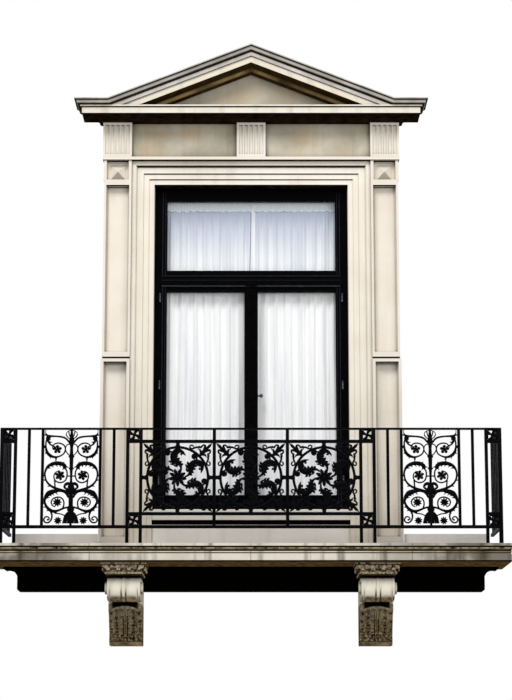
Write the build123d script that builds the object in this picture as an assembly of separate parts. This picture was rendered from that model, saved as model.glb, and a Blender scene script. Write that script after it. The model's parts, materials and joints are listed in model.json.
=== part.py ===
from build123d import *
from math import cos, hypot, radians, sin, tan
import os

# Balcony slab
slab_half_width = 2025
slab_projection = 720
slab_thickness = 140
fascia_height = 58
fascia_setback = 20
nosing_fillet = 24
nosing_roll = 28
nick = 7

# Bed moulding and bearing course that carry the slab at the wall
bed_half_width = 1950
bed_projection = 250
bed_height = 69
bed_fillet = 16
bearing_projection = 150
bearing_height = 113
bearing_chamfer = 12

# Consoles and their caps
console_offset = 982
console_width = 257
console_height = 520
console_projection = 580
roll_radius = 77
roll_drop = 24
rib_width = 22
rib_relief = 5
eye_radius = 46
eye_relief = 18
curl_projection = 365
curl_drop = 195
curl_height = 82
leaf_projection = 330
lip_projection = 225
lip_height = 60
tail_projection = 150
cap_height = 90
cap_flare = 48
cap_bead = 30
cap_fillet = 12

# Opening and architrave, whose fasciae are (width, projection) from the opening outwards
opening_half_width = 797
opening_height = 3027
fasciae = [(44, 30), (46, 40), (56, 52)]
architrave_width = 186
architrave_projection = 76
architrave_edge = 18
reveal_depth = 240
reveal_lining = 60

# Pilasters, whose impost and neck steps are (projection, height) from below
pilaster_width = 237
pilaster_projection = 100
panel_margin = 47
panel_sink = 14
impost_height = 1519
impost_steps = [(6, 16), (14, 16), (28, 26)]
plinth_height = 70
plinth_projection = 8
boss_lift = 22
boss_depth = 170
boss_field = 164
boss_width = 127
boss_rise = 28
boss_tip = 8
neck_steps = [(7, 14), (18, 22)]

# Frieze
fillet_depth = 25
fillet_projection = 114
frieze_depth = 293
frieze_projection = 60
block_projection = 108
flute_count = 5
flute_radius = 17
flute_sides = 12
flute_pitch = 42
flute_margin = 22

# Level cornice
cornice_bed_low = 120
cornice_bed_high = 150
cornice_bed_height = 32
corona_projection = 266
corona_height = 50
crown_projection = 280
crown_height = 12

# Pediment
cyma_projection = 327
cyma_height = 48
cyma_fillet = 9
rake_fillet_height = 28
rake_bed_height = 40
pediment_rise = 461
pitch = 21.5

# Base course of the wall beside the surround
wall_base_height = 140
wall_base_projection = 40
wall_base_end = 1900

# Door sill, frame and leaves
apron_height = 218
sill_bed_height = 32
sill_bed_setback = 30
sill_thickness = 91
sill_projection = 24
sill_rounding = 12
frame_setback = 100
frame_depth = 60
frame_width = 48
frame_foot = 20
sash_setback = 6
sash_width = 55
sash_depth = 44
bottom_rail_width = 109
leaf_top_width = 42
fanlight_bottom_width = 44
fanlight_top_width = 60
weather_bar_height = 40
weather_bar_projection = 22
weather_bar_lift = 12

# Transom bar, with the small block on its middle
transom_base = 2192
transom_height = 95
transom_shoulder = 8
transom_projection = 26
transom_steps = [8, 18, 44, 52]
keystone_width = 96
keystone_height = 44
keystone_relief = 18

# Cover strip over the meeting stiles, whose raised blocks are (start, height) above its foot
cover_width = 108
cover_thickness = 16
reed_radius = 9
reed_sides = 10
reed_pitch = 22
cover_block_width = 72
cover_block_relief = 14
cover_blocks = [(0, 118), (595, 93), (890, 120), (1753, 58)]

# Glass, fittings and curtains
glass_thickness = 6
knob_height = 1283
knob_reach = 27
knob_radius = 17
knob_sides = 12
spindle_radius = 6
hinge_radius = 8
hinge_sides = 10
hinge_length = 70
hinge_heights = (590, 1371, 2100)
curtain_setback = 200
curtain_thickness = 24
curtain_foot = 40
curtain_parting = 8
rod_radius = 9
rod_drop = 127
seat_gap = 0.3

# Railing
rail_line = 650
railing_height = 903
handrail_height = 14
handrail_depth = 28
bottom_rail_height = 120
upper_rail_height = 785
lower_rail_height = 221
rail_thickness = 24
post_width = 24
corner_post_width = 30
centre_post_width = 20
centre_post_offset = 284
pair_offset = 853
pair_pitch = 104
bar_pitch = 106
bar_width = 22
side_bay_length = 871
side_bar_count = 5

# Ring panels. Outlines are (radius, degrees) round the ring's centre, from the ball or the corner
plate = 14
ring_radius = 244
ring_width = 16
ring_sides = 32
tie_width = 34
hub_radius = 60
hub_petals = 8
arm_count = 6
arm_turn = -9
ball_radius = 25
ball_reach = 209
arm_outline = [
    (50, -38), (84, -32), (97, -4), (108, -9), (118, 8), (130, -1), (160, 0), (190, -4), (222, -13),
    (218, -27), (183, -41), (186, -25), (172, -15), (160, -25), (146, -21), (134, -30), (116, -28),
    (96, -40), (50, -60),
]
spear_outline = [
    (232, -3), (262, -6), (280, -5), (300, -2), (334, -3), (372, 0),
    (334, 3), (300, 2), (280, 5), (262, 6), (232, 3),
]
tendril_line = [(282, 3), (318, 6), (286, 11), (258, 18)]
tendril_width = 9
bud_radius = 15
bud_sides = 5
bud_place = (262, 20)

# Scroll panels. Volutes are (offset, height, radius, start, turns) from the foot of the stem
stem_width = 16
scroll_width = 13
scroll_step = 30
eye_share = 0.34
eye_petals = 6
petal_notch = 0.6
volutes = [(109, 183, 97, 180, -1.25), (95, 385, 95, -41, 0.95), (113, 604, 94, 180, -1.25)]
branch_line = [(8, 215), (42, 253), (123, 285), (165, 326)]
crown_line = [(10, 672), (56, 700), (113, 704), (170, 692), (200, 716)]
foot_line = [(108, 30), (142, 34), (142, 74), (160, 122)]
link_line = [(8, 80), (56, 84), (108, 113)]
curl_centre = (181, 41)
curl_radius = 35
foot_bud = (106, 36)
foot_bud_radius = 22
foot_leaf = [(54, 14), (46, 56), (14, 80)]
vase = [(14, 80), (26, 112), (12, 146)]
tulip = [(16, 250), (40, 276), (30, 318), (12, 300)]
shell = [(14, 656), (48, 718), (28, 739)]
collar_heights = (455, 548)
collar_width = 36
collar_height = 18

# Small square castings between the paired posts
casting_rim = 8
casting_hub = 13
casting_petals = 4
petal_lean = 15

# Shapes of the mouldings' curves, as the bow of an arc for each unit of its chord
quarter_bow = 0.207
soft_bow = 0.16

# Heights and places that follow from the sizes above
pilaster_inner = opening_half_width + architrave_width
pilaster_outer = pilaster_inner + pilaster_width
pilaster_middle = (pilaster_inner + pilaster_outer) / 2
boss_height = opening_height + boss_lift
neck_base = boss_height - sum(step[1] for step in neck_steps)
rod_height = opening_height - rod_drop
impost_top = impost_height + sum(step[1] for step in impost_steps)
fillet_base = boss_height + boss_depth
frieze_base = fillet_base + fillet_depth
cornice_base = frieze_base + frieze_depth
cornice_top = cornice_base + cornice_bed_height + corona_height + nick + crown_height
cornice_side = pilaster_outer - pilaster_projection
rake_depth = cyma_height + nick + rake_fillet_height + corona_height + rake_bed_height
sill_top = apron_height + sill_bed_height + sill_thickness
leaf_base = sill_top + frame_foot
leaf_edge = opening_half_width - frame_width
sash_face = frame_setback + sash_setback
transom_top = transom_base + transom_height
glass_base = leaf_base + bottom_rail_width
glass_edge = leaf_edge - sash_width
outer_pair = pair_offset + pair_pitch + side_bay_length
corner_post = outer_pair + pair_pitch
side_bay_middle = pair_offset + pair_pitch + side_bay_length / 2
bar_foot = bottom_rail_height + rail_thickness
bar_top = railing_height - handrail_height

section_plane = Plane(origin=(0, 0, 0), x_dir=(0, -1, 0), z_dir=(-1, 0, 0))
railing_plane = Plane(origin=(0, -rail_line, 0), x_dir=(1, 0, 0), z_dir=(0, -1, 0))


def block(x_range, y_range, z_range):
    """A box between two X, two Y and two Z values."""
    ranges = (x_range, y_range, z_range)
    size = [high - low for low, high in ranges]
    middle = [(low + high) / 2 for low, high in ranges]
    return Pos(*middle) * Box(*size)


def prism(radius, height, sides):
    """An upright bar with many flat sides, round its middle."""
    return extrude(RegularPolygon(radius, sides), height / 2, both=True)


def outline(points):
    """A closed face. A point is (x, y), or (x, y, rise) where an arc bowed by rise ends there."""
    edges = []
    here = points[0][:2]
    for point in points[1:] + points[:1]:
        there = point[:2]
        if len(point) == 3:
            edges.append(SagittaArc(here, there, point[2]))
        else:
            edges.append(Line(here, there))
        here = there
    return make_face(edges)


def hollow(start, end, bow=quarter_bow):
    """Step to a point along a concave curve, with the material on the left of the way."""
    return (*end, bow * hypot(end[0] - start[0], end[1] - start[1]))


def rounded(start, end, bow=quarter_bow):
    """Step to a point along a convex curve, with the material on the left of the way."""
    return hollow(start, end, -bow)


def ogee(start, end):
    """Steps along an S-shaped curve, convex below and hollow above."""
    middle = ((start[0] + end[0]) / 2, (start[1] + end[1]) / 2)
    return [rounded(start, middle, soft_bow), hollow(middle, end, soft_bow)]


def along(profile, x_range):
    """Run a (projection, height) profile along the front between two X values."""
    face = section_plane * outline(profile)
    return Pos(x_range[0], 0, 0) * extrude(face, x_range[0] - x_range[1])


def returned(profile, side):
    """Run a profile along the front and round both ends to the wall; side is its half width at the wall."""
    reach = max(point[0] for point in profile)
    front = along(profile, (0, side + reach))
    flank = [(0, profile[0][1])] + [(side + point[0], *point[1:]) for point in profile[1:-1]]
    end = extrude(Plane.XZ * outline(flank + [(0, profile[-1][1])]), reach)
    half = front & end
    return half + mirrored(half)


def mirrored(shape):
    """The same piece on the other side of the middle."""
    return mirror(shape, Plane.YZ)


def both(shape):
    """A right-hand piece and its left-hand mirror image, as one node."""
    return Part() + [shape, mirrored(shape)]


def polar(radius, angle):
    """Point at a radius and an angle in degrees."""
    return (radius * cos(radians(angle)), radius * sin(radians(angle)))


def save(name, shape):
    """Write one node, lifted so that the middle of the slab's back face is the origin."""
    os.makedirs("parts", exist_ok=True)
    export_step(Pos(0, 0, slab_thickness / 2) * shape, f"parts/{name}.step")


def save_pair(name, shape):
    """Write a right-hand piece and its left-hand mirror image as two nodes."""
    save(f"{name}_right", shape)
    save(f"{name}_left", mirrored(shape))


def make_slab():
    """Balcony slab with a moulded nosing that returns at both ends."""
    face = slab_projection - fascia_setback
    fascia_top = fascia_height - slab_thickness
    roll_start = (face - nick, -nosing_fillet - nosing_roll)
    profile = [(0, -slab_thickness), (face, -slab_thickness), (face, fascia_top)]
    profile += [(face - nick, fascia_top + nick), (face, fascia_top + 2 * nick), (face, roll_start[1] - nick)]
    profile += [roll_start, rounded(roll_start, (slab_projection - nick, -nosing_fillet))]
    profile += [(slab_projection, -nosing_fillet), (slab_projection, 0), (0, 0)]
    return returned(profile, slab_half_width - slab_projection)


def make_bed_moulding():
    """Hollow moulding and plain bearing course under the slab."""
    top = -slab_thickness
    cove = (bearing_projection, top - bed_height)
    foot = cove[1] - bearing_height
    profile = [(0, foot), (bearing_projection - bearing_chamfer, foot)]
    profile += [(bearing_projection, foot + bearing_chamfer), cove]
    profile += [ hollow(cove, (bed_projection, top - bed_fillet)), (bed_projection, top), (0, top)]
    return returned(profile, bed_half_width - bed_projection)


def disc(radius, half_length, centre):
    """Cylinder along X round a (projection, height) centre."""
    return extrude(Plane.YZ * Pos(-centre[0], centre[1]) * Circle(radius), half_length, both=True)


def make_console():
    """Scrolled console: a ribbed roll in front, a curled leaf under it and a lipped tail on the wall."""
    top = -slab_thickness - cap_height
    foot = top - console_height
    roll = (console_projection - roll_radius, top - roll_drop - roll_radius)
    lip = (lip_projection, foot + lip_height / 2)
    waist = (lip_projection - nick, foot + lip_height)
    leaf = (leaf_projection, top - curl_drop - curl_height)
    curl = (curl_projection, top - curl_drop)
    body = [(0, foot), (tail_projection, foot), rounded((tail_projection, foot), lip), waist]
    body += [hollow(waist, leaf, soft_bow), rounded(leaf, curl)]
    body += [hollow(curl, (roll[0], roll[1] - roll_radius), soft_bow), (roll[0], top), (0, top)]
    shape = along(body, (-console_width / 2, console_width / 2))
    shape += disc(roll_radius, console_width / 2, roll)
    shape += disc(roll_radius + rib_relief, rib_width / 2, roll)
    shape += disc(eye_radius, console_width / 2 + eye_relief, roll)
    return Pos(console_offset, 0, 0) * shape - make_bed_moulding()


def make_console_cap():
    """Moulded cap between a console and the slab."""
    low = -slab_thickness - cap_height
    front = console_projection
    bead = (front + nick, low + cap_bead)
    neck = (front + nick, low + cap_bead + nick)
    edge = front + cap_flare
    profile = [(0, low), (front, low), rounded((front, low), bead), neck]
    profile += ogee(neck, (edge, -slab_thickness - cap_fillet))
    profile += [(edge, -slab_thickness), (0, -slab_thickness)]
    return Pos(console_offset, 0, 0) * returned(profile, console_width / 2 - front) - make_bed_moulding()


def make_pilaster(low, high):
    """A pilaster length with a sunk panel in its face."""
    shaft = block((pilaster_inner, pilaster_outer), (-pilaster_projection, 0), (low, high))
    panel = block(
        (pilaster_inner + panel_margin, pilaster_outer - panel_margin),
        (-pilaster_projection, panel_sink - pilaster_projection),
        (low + panel_margin, high - panel_margin),
    )
    return shaft - panel


def steps(sizes, base):
    """Flat mouldings round a pilaster, one on the other."""
    pieces = []
    for projection, height in sizes:
        depth = pilaster_projection + projection
        pieces.append(block((pilaster_inner, pilaster_outer + projection), (-depth, 0), (base, base + height)))
        base += height
    return pieces


def make_pilaster_base():
    """Lower pilaster on its plinth, with the stepped impost on top."""
    front = pilaster_projection + plinth_projection
    plinth = block((pilaster_inner, pilaster_outer + plinth_projection), (-front, 0), (0, plinth_height))
    return make_pilaster(plinth_height, impost_height) + [plinth, *steps(impost_steps, impost_height)]


def make_pilaster_boss():
    """Square block with a pyramid boss in a sunk field, on its stepped neck."""
    centre = boss_height + boss_depth / 2
    face = pilaster_projection
    body = block((pilaster_inner, pilaster_outer), (-face, 0), (boss_height, fillet_base))
    half = boss_field / 2
    x_range = (pilaster_middle - half, pilaster_middle + half)
    half = boss_depth / 2 - panel_sink
    field = block(x_range, (-face, panel_sink - face), (centre - half, centre + half))
    front = face - panel_sink
    peak = front + boss_rise
    low = boss_width / 2
    tip = boss_tip / 2
    section = outline([(-low, -front), (-tip, -peak), (tip, -peak), (low, -front)])
    wedge = Pos(pilaster_middle, 0, centre) * extrude(section, low, both=True)
    section = [(front, centre - low), (peak, centre - tip), (peak, centre + tip), (front, centre + low)]
    pyramid = wedge & along(section, (pilaster_middle - low, pilaster_middle + low))
    return body - field + [pyramid, *steps(neck_steps, neck_base)]


def fluted_block(centre):
    """Frieze block with upright flutes in its face."""
    half = pilaster_width / 2
    body = block((centre - half, centre + half), (-block_projection, 0), (frieze_base, cornice_base))
    flute = prism(flute_radius, frieze_depth - 2 * flute_margin, flute_sides)
    for index in range(flute_count):
        offset = (index - (flute_count - 1) / 2) * flute_pitch
        body -= Pos(centre + offset, -block_projection, frieze_base + frieze_depth / 2) * flute
    return body


def make_fluted_blocks():
    """The three fluted frieze blocks."""
    return Part() + [fluted_block(centre) for centre in (-pilaster_middle, 0, pilaster_middle)]


def make_frieze():
    """Plain frieze panels between the blocks, and the fillet under them."""
    panel = block((pilaster_width / 2, pilaster_inner), (-frieze_projection, 0), (frieze_base, cornice_base))
    half = panel + block((0, pilaster_outer), (-fillet_projection, 0), (fillet_base, frieze_base))
    return half + mirrored(half)


def architrave_profile():
    """Stepped fasciae, outer moulding and reveal, as (distance from the opening, -projection)."""
    points = []
    distance = 0
    for width, projection in fasciae:
        points += [(distance, -projection), (distance + width - nick, -projection)]
        distance += width
    ramp = (distance, nick - architrave_projection)
    points += [ramp, rounded(ramp, (architrave_width - architrave_edge, -architrave_projection), soft_bow)]
    points += [(architrave_width, -architrave_projection), (architrave_width, 0), (reveal_lining, 0)]
    points += [(reveal_lining, reveal_depth), (0, reveal_depth)]
    return points


def above_mitre():
    """Everything above the 45 degree mitre through the opening's top right corner."""
    far = 2 * opening_half_width
    low_left = (opening_half_width - far, opening_height - far)
    high_right = (opening_half_width + far, opening_height + far)
    face = Plane.XZ.offset(-2 * reveal_depth) * outline([low_left, high_right, (low_left[0], high_right[1])])
    return extrude(face, 4 * reveal_depth)


def make_jamb():
    """Right-hand side of the architrave, mitred at the head."""
    points = [(opening_half_width + point[0], *point[1:]) for point in architrave_profile()]
    return extrude(outline(points), opening_height + architrave_width) - above_mitre()


def make_head():
    """Top of the architrave, mitred at both corners and filled up to the fillet."""
    points = [(-point[1], opening_height + point[0], *point[2:]) for point in architrave_profile()]
    lintel = along(points, (0, pilaster_inner)) & above_mitre()
    filler_base = opening_height + architrave_width
    filler = block((0, pilaster_inner), (-frieze_projection, 0), (filler_base, fillet_base))
    half = lintel + filler
    return half + mirrored(half)


def make_cornice():
    """Level cornice: bed moulding, corona and crowning fillet."""
    bed_top = cornice_base + cornice_bed_height
    corona_top = bed_top + corona_height
    bed = (cornice_bed_low, cornice_base)
    profile = [(0, cornice_base), bed] + ogee(bed, (cornice_bed_high, bed_top))
    profile += [(corona_projection, bed_top), (corona_projection, corona_top)]
    profile += [(crown_projection, corona_top + nick), (crown_projection, cornice_top), (0, cornice_top)]
    return returned(profile, cornice_side)


def cyma(base):
    """Steps of the crowning moulding on top of a base height."""
    start = (crown_projection + nick, base)
    end = (cyma_projection, base + cyma_height - cyma_fillet)
    return [start] + ogee(start, end) + [(cyma_projection, base + cyma_height)]


def rake_profile():
    """Raking cornice section, as (projection, height above the rake's top line)."""
    bed_top = rake_bed_height - rake_depth
    corona_top = bed_top + corona_height
    bed = (cornice_bed_low, -rake_depth)
    profile = [(0, -rake_depth), bed] + ogee(bed, (cornice_bed_high, bed_top))
    profile += [(corona_projection, bed_top), (corona_projection, corona_top), (crown_projection, corona_top)]
    profile += [(crown_projection, -cyma_height - nick), (crown_projection - nick, -cyma_height)]
    return profile + cyma(-cyma_height) + [(0, 0)]


def make_raking_cornice():
    """Right half of the pediment's sloping cornice, with its level end."""
    kink = pediment_rise / tan(radians(pitch))
    kink_top = cornice_top + cyma_height
    lean = tan(radians(pitch / 2))
    far = 2 * kink
    uphill = (-cos(radians(pitch)), 0, sin(radians(pitch)))
    slope_plane = Plane(origin=(0, 0, kink_top + pediment_rise), x_dir=(0, -1, 0), z_dir=uphill)
    mitre_foot = (kink - lean * cyma_height, cornice_top)
    mitre_head = (kink + lean * far, kink_top + far)
    inner = Plane.XZ * outline([(0, cornice_top), mitre_foot, mitre_head, (0, kink_top + far)])
    outer = Plane.XZ * outline([mitre_foot, (far, cornice_top), mitre_head])
    sloping = extrude(slope_plane * outline(rake_profile()), -far) & extrude(inner, far)
    level = returned([(0, cornice_top)] + cyma(cornice_top) + [(0, kink_top)], cornice_side)
    return sloping + (level & extrude(outer, far))


def make_tympanum():
    """Flat triangular field inside the pediment."""
    peak = cornice_top + cyma_height + pediment_rise - rake_depth / cos(radians(pitch))
    foot = (peak - cornice_top) / tan(radians(pitch))
    field = outline([(-foot, cornice_top), (foot, cornice_top), (0, peak)])
    return extrude(Plane.XZ * field, frieze_projection)


def make_wall_base():
    """Right-hand base course of the wall beside the surround."""
    start = pilaster_outer + plinth_projection
    return block((start, wall_base_end), (-wall_base_projection, 0), (0, wall_base_height))


def make_apron():
    """Stone block under the door sill."""
    return block((-opening_half_width, opening_half_width), (0, reveal_depth), (0, apron_height))


def make_sill():
    """Door sill with a rounded nose, on a recessed bed that leaves a shadow gap."""
    low = apron_height + sill_bed_height
    nose = (sill_projection, sill_top - sill_rounding)
    profile = [(-reveal_depth, apron_height), (-sill_bed_setback, apron_height), (-sill_bed_setback, low)]
    profile += [(sill_projection, low), nose, rounded(nose, (sill_projection - sill_rounding, sill_top))]
    profile += [(-reveal_depth, sill_top)]
    return along(profile, (-opening_half_width, opening_half_width))


def frame_ring(x_range, z_range, widths, y_range):
    """A rectangular frame; widths are those of its sides, bottom and top."""
    side, bottom, top = widths
    inner_x = (x_range[0] + side, x_range[1] - side)
    inner_z = (z_range[0] + bottom, z_range[1] - top)
    return block(x_range, y_range, z_range) - block(inner_x, y_range, inner_z)


def make_window_frame():
    """Fixed frame with the moulded transom bar."""
    back = -frame_setback - frame_depth
    front = -frame_setback
    ring = frame_ring(
        (-opening_half_width, opening_half_width), (sill_top, opening_height),
        (frame_width, frame_foot, frame_width), (frame_setback, frame_setback + frame_depth),
    )
    fillet, roll, neck, cove = [transom_base + step for step in transom_steps]
    shoulder = (front + transom_shoulder, fillet)
    nose = front + transom_projection
    profile = [(back, transom_base), (front, transom_base), shoulder, hollow(shoulder, (nose, roll))]
    profile += [(nose, neck), hollow((nose, neck), (shoulder[0], cove))]
    profile += [(shoulder[0], transom_top), (back, transom_top)]
    bar = along(profile, (-leaf_edge, leaf_edge))
    half = keystone_width / 2
    keystone_top = transom_base + keystone_height
    keystone = block((-half, half), (-nose - keystone_relief, -nose), (transom_base, keystone_top))
    return ring + bar + keystone


def make_fanlight():
    """Fixed sash above the transom."""
    return frame_ring(
        (-leaf_edge, leaf_edge), (transom_top, opening_height - frame_width),
        (sash_width, fanlight_bottom_width, fanlight_top_width), (sash_face, sash_face + sash_depth),
    )


def make_leaf():
    """Right-hand door leaf: stiles, rails and the rounded weather bar."""
    leaf = frame_ring(
        (seat_gap, leaf_edge), (leaf_base, transom_base),
        (sash_width, bottom_rail_width, leaf_top_width), (sash_face, sash_face + sash_depth),
    )
    low = leaf_base + weather_bar_lift
    nose = (weather_bar_projection - sash_face, low + weather_bar_lift)
    profile = [(-sash_face, low), (nose[0], low), nose, rounded(nose, (-sash_face, low + weather_bar_height))]
    return leaf + along(profile, (cover_width / 2, leaf_edge))


def make_cover_strip():
    """Strip over the meeting of the two leaves, with raised blocks and reeds between them."""
    face = sash_face - cover_thickness
    strip = block((-cover_width / 2, cover_width / 2), (face, sash_face), (leaf_base, transom_base))
    half = cover_block_width / 2
    pieces = []
    for start, height in cover_blocks:
        z_range = (leaf_base + start, leaf_base + start + height)
        pieces.append(block((-half, half), (face - cover_block_relief, face), z_range))
    for (start, height), (end, _) in zip(cover_blocks, cover_blocks[1:]):
        low = start + height
        for index in (-1, 0, 1):
            reed = prism(reed_radius, end - low, reed_sides)
            pieces.append(Pos(index * reed_pitch, face, leaf_base + (low + end) / 2) * reed)
    return strip + pieces


def make_panes():
    """Panes of the fanlight and of both leaves, in the middle of their sashes."""
    middle = sash_face + sash_depth / 2
    y_range = (middle - glass_thickness / 2, middle + glass_thickness / 2)
    fanlight_top = opening_height - frame_width - fanlight_top_width
    fanlight = block((-glass_edge, glass_edge), y_range, (transom_top + fanlight_bottom_width, fanlight_top))
    leaf = block((seat_gap + sash_width, glass_edge), y_range, (glass_base, transom_base - leaf_top_width))
    return Part() + [fanlight, leaf, mirrored(leaf)]


def make_fittings():
    """Round knob on its spindle from the cover strip, and the leaves' hinges."""
    edge = cover_width / 2
    depth = sash_face - cover_thickness / 2
    across = Plane(origin=(edge, depth, knob_height), x_dir=(0, 1, 0), z_dir=(1, 0, 0))
    waist = extrude(across * RegularPolygon(spindle_radius, knob_sides), knob_reach)
    rings = []
    for angle in (-60, -20, 20, 60):
        reach, size = polar(knob_radius, angle)[::-1]
        rings.append(across.offset(knob_reach + reach) * RegularPolygon(size, knob_sides))
    pieces = [waist + loft(rings, ruled=True)]
    for height in hinge_heights:
        barrel = prism(hinge_radius, hinge_length, hinge_sides)
        hinge = Pos(leaf_edge, frame_setback - hinge_radius, height) * barrel
        pieces += [hinge, mirrored(hinge)]
    return Part() + pieces


def make_curtain():
    """Right-hand net curtain, under the rod."""
    half = curtain_thickness / 2
    return block(
        (curtain_parting, leaf_edge), (curtain_setback - half, curtain_setback + half),
        (sill_top + curtain_foot, rod_height - rod_radius - seat_gap),
    )


def make_rod():
    """Curtain rod from reveal to reveal."""
    return Pos(0, curtain_setback, rod_height) * Rot(0, 90, 0) * Cylinder(rod_radius, 2 * opening_half_width)


def rail(x_range, low, height, depth):
    """A flat bar along the railing line."""
    return block(x_range, (-rail_line - depth / 2, -rail_line + depth / 2), (low, low + height))


def upright(offset, width, low):
    """A square upright on the railing line, up to the handrail."""
    half = width / 2
    return block((offset - half, offset + half), (-rail_line - half, -rail_line + half), (low, bar_top))


def make_handrail():
    """Handrail along the front, over all posts and panels."""
    end = corner_post + corner_post_width / 2
    return rail((-end, end), bar_top, handrail_height, handrail_depth)


def make_posts():
    """Paired posts, the outermost ones heavier, and the slimmer posts between the ring panels."""
    posts = [upright(offset, post_width, 0) for offset in (pair_offset, pair_offset + pair_pitch, outer_pair)]
    posts.append(upright(corner_post, corner_post_width, 0))
    posts.append(upright(centre_post_offset, centre_post_width, 0))
    return Part() + posts + [mirrored(post) for post in posts]


def make_bars():
    """Plain square bars on both sides of the scroll panels."""
    bars = []
    for step in (bar_pitch, 2 * bar_pitch):
        for offset in (outer_pair - side_bay_length + step, outer_pair - step):
            bar = upright(offset, bar_width, bar_foot)
            bars += [bar, mirrored(bar)]
    return Part() + bars


def make_bottom_rail():
    """Bottom rail in lengths between the posts."""
    posts = [(centre_post_offset, centre_post_width), (pair_offset, post_width)]
    posts += [(pair_offset + pair_pitch, post_width), (outer_pair, post_width)]
    posts.append((corner_post, corner_post_width))
    first = centre_post_offset - centre_post_width / 2
    lengths = [rail((-first, first), bottom_rail_height, rail_thickness, rail_thickness)]
    for (inner, inner_width), (outer, outer_width) in zip(posts, posts[1:]):
        span = (inner + inner_width / 2, outer - outer_width / 2)
        length = rail(span, bottom_rail_height, rail_thickness, rail_thickness)
        lengths += [length, mirrored(length)]
    return Part() + lengths


def make_panel_rails():
    """Rails above and below the ring panels, with short lengths between the paired posts."""
    first = centre_post_offset - centre_post_width / 2
    half = post_width / 2
    spans = [(first + centre_post_width, pair_offset - half)]
    spans.append((pair_offset + half, pair_offset + pair_pitch - half))
    spans.append((outer_pair + half, corner_post - corner_post_width / 2))
    lengths = []
    for base in (lower_rail_height, upper_rail_height):
        lengths.append(rail((-first, first), base, rail_thickness, rail_thickness))
        for span in spans:
            length = rail(span, base, rail_thickness, rail_thickness)
            lengths += [length, mirrored(length)]
    return Part() + lengths


def flower(radius, petals):
    """Flat flower with pointed petals."""
    points = []
    for index in range(petals):
        angle = 360 / petals * index
        points += [polar(radius, angle), polar(radius * petal_notch, angle + 180 / petals)]
    return outline(points)


def turned(points, angle, side=1):
    """Points given as (radius, degrees), turned to an angle, on one side or the other of it."""
    return [polar(radius, angle + side * turn) for radius, turn in points]


def flat_arm(angle):
    """One leafed arm of a ring panel with its ball, turned to an angle."""
    ball = Pos(*polar(ball_reach, angle)) * RegularPolygon(ball_radius, eye_petals)
    neck = trace(Line(polar(ball_reach - 2 * ball_radius, angle), polar(ball_reach, angle)), tendril_width)
    return outline(turned(arm_outline, angle)) + neck + ball


def flat_corner():
    """Spear leaf and two budded tendrils that fill the upper right corner of a ring panel."""
    middle = 45
    shape = outline(turned(spear_outline, middle))
    for side in (-1, 1):
        shape += trace(Polyline(turned(tendril_line, middle, side)), tendril_width)
        place = polar(bud_place[0], middle + side * bud_place[1])
        shape += Pos(*place) * RegularPolygon(bud_radius, bud_sides)
    return shape


def flat_ring_panel(half_width, half_height):
    """Ring with curling leafed arms, four corner leaves and short ties to posts and rails."""
    shape = RegularPolygon(ring_radius, ring_sides) - RegularPolygon(ring_radius - ring_width, ring_sides)
    shape += flower(hub_radius, hub_petals)
    for index in range(arm_count):
        shape += flat_arm(360 / arm_count * index + arm_turn)
    corner = flat_corner()
    upper = corner + mirrored(corner)
    shape += upper + mirror(upper, Plane.XZ)
    inner = ring_radius - ring_width / 2
    for side in (-1, 1):
        shape += Pos(side * (half_width + inner) / 2, 0) * Rectangle(half_width - inner, tie_width)
        shape += Pos(0, side * (half_height + inner) / 2) * Rectangle(tie_width, half_height - inner)
    return shape & Rectangle(2 * half_width, 2 * half_height)


def make_ring_panel(x_range):
    """One ring panel, seated between the rails and posts of the centre bay."""
    low = lower_rail_height + rail_thickness
    half_width = (x_range[1] - x_range[0]) / 2
    half_height = (upper_rail_height - low) / 2
    panel = extrude(flat_ring_panel(half_width, half_height), plate / 2, both=True)
    return railing_plane * (Pos(x_range[0] + half_width, low + half_height) * panel)


def spiral_radius(radius, share):
    """Outer radius of a volute after a share of its way to the eye."""
    return radius * (1 - (1 - eye_share) * share**2)


def flat_volute(radius, start, turns):
    """Spiral band that winds from its start angle in to a flower eye."""
    steps = round(360 * abs(turns) / scroll_step)
    outer = []
    inner = []
    for index in range(steps + 1):
        size = spiral_radius(radius, index / steps)
        angle = start + 360 * turns * index / steps
        outer.append(polar(size, angle))
        inner.append(polar(size - scroll_width, angle))
    return outline(outer + inner[::-1]) + flower(radius * eye_share, eye_petals)


def flat_scroll_half(half_width):
    """Volutes, ties, base curl and tendrils on the right of the stem."""
    shape = Sketch()
    for offset, level, radius, start, turns in volutes:
        shape += Pos(offset, level) * flat_volute(radius, start, turns)
        for angle, far in ((180, 0), (0, half_width)):
            share = (angle - start) / (360 * turns) % (1 / abs(turns))
            near = offset + cos(radians(angle)) * (spiral_radius(radius, share) - scroll_width / 2)
            shape += Pos((near + far) / 2, level) * Rectangle(abs(far - near), scroll_width)
    sides = 2 * eye_petals
    ring = RegularPolygon(curl_radius, sides) - RegularPolygon(curl_radius - scroll_width, sides)
    shape += Pos(*curl_centre) * ring + Pos(*foot_bud) * RegularPolygon(foot_bud_radius, hub_petals)
    for line in (branch_line, crown_line, foot_line, link_line):
        shape += trace(Polyline(line), scroll_width)
    return shape


def flat_scroll_panel(half_width, height):
    """Stem with three pairs of volutes, a vase foot, a tulip and a shell top."""
    half = flat_scroll_half(half_width)
    shape = Pos(0, height / 2) * Rectangle(stem_width, height) + half + mirrored(half)
    for edge in (foot_leaf, vase, tulip, shell):
        shape += outline(edge + [(-x, y) for x, y in reversed(edge)])
    for level in collar_heights:
        shape += Pos(0, level) * Rectangle(collar_width, collar_height)
    return shape & Pos(0, height / 2) * Rectangle(2 * half_width, height)


def make_scroll_panel():
    """Right-hand scroll panel between the plain bars of the side bay."""
    half_width = side_bay_length / 2 - 2 * bar_pitch - bar_width / 2
    panel = extrude(flat_scroll_panel(half_width, bar_top - bar_foot), plate / 2, both=True)
    return railing_plane * (Pos(side_bay_middle, bar_foot) * panel)


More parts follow.
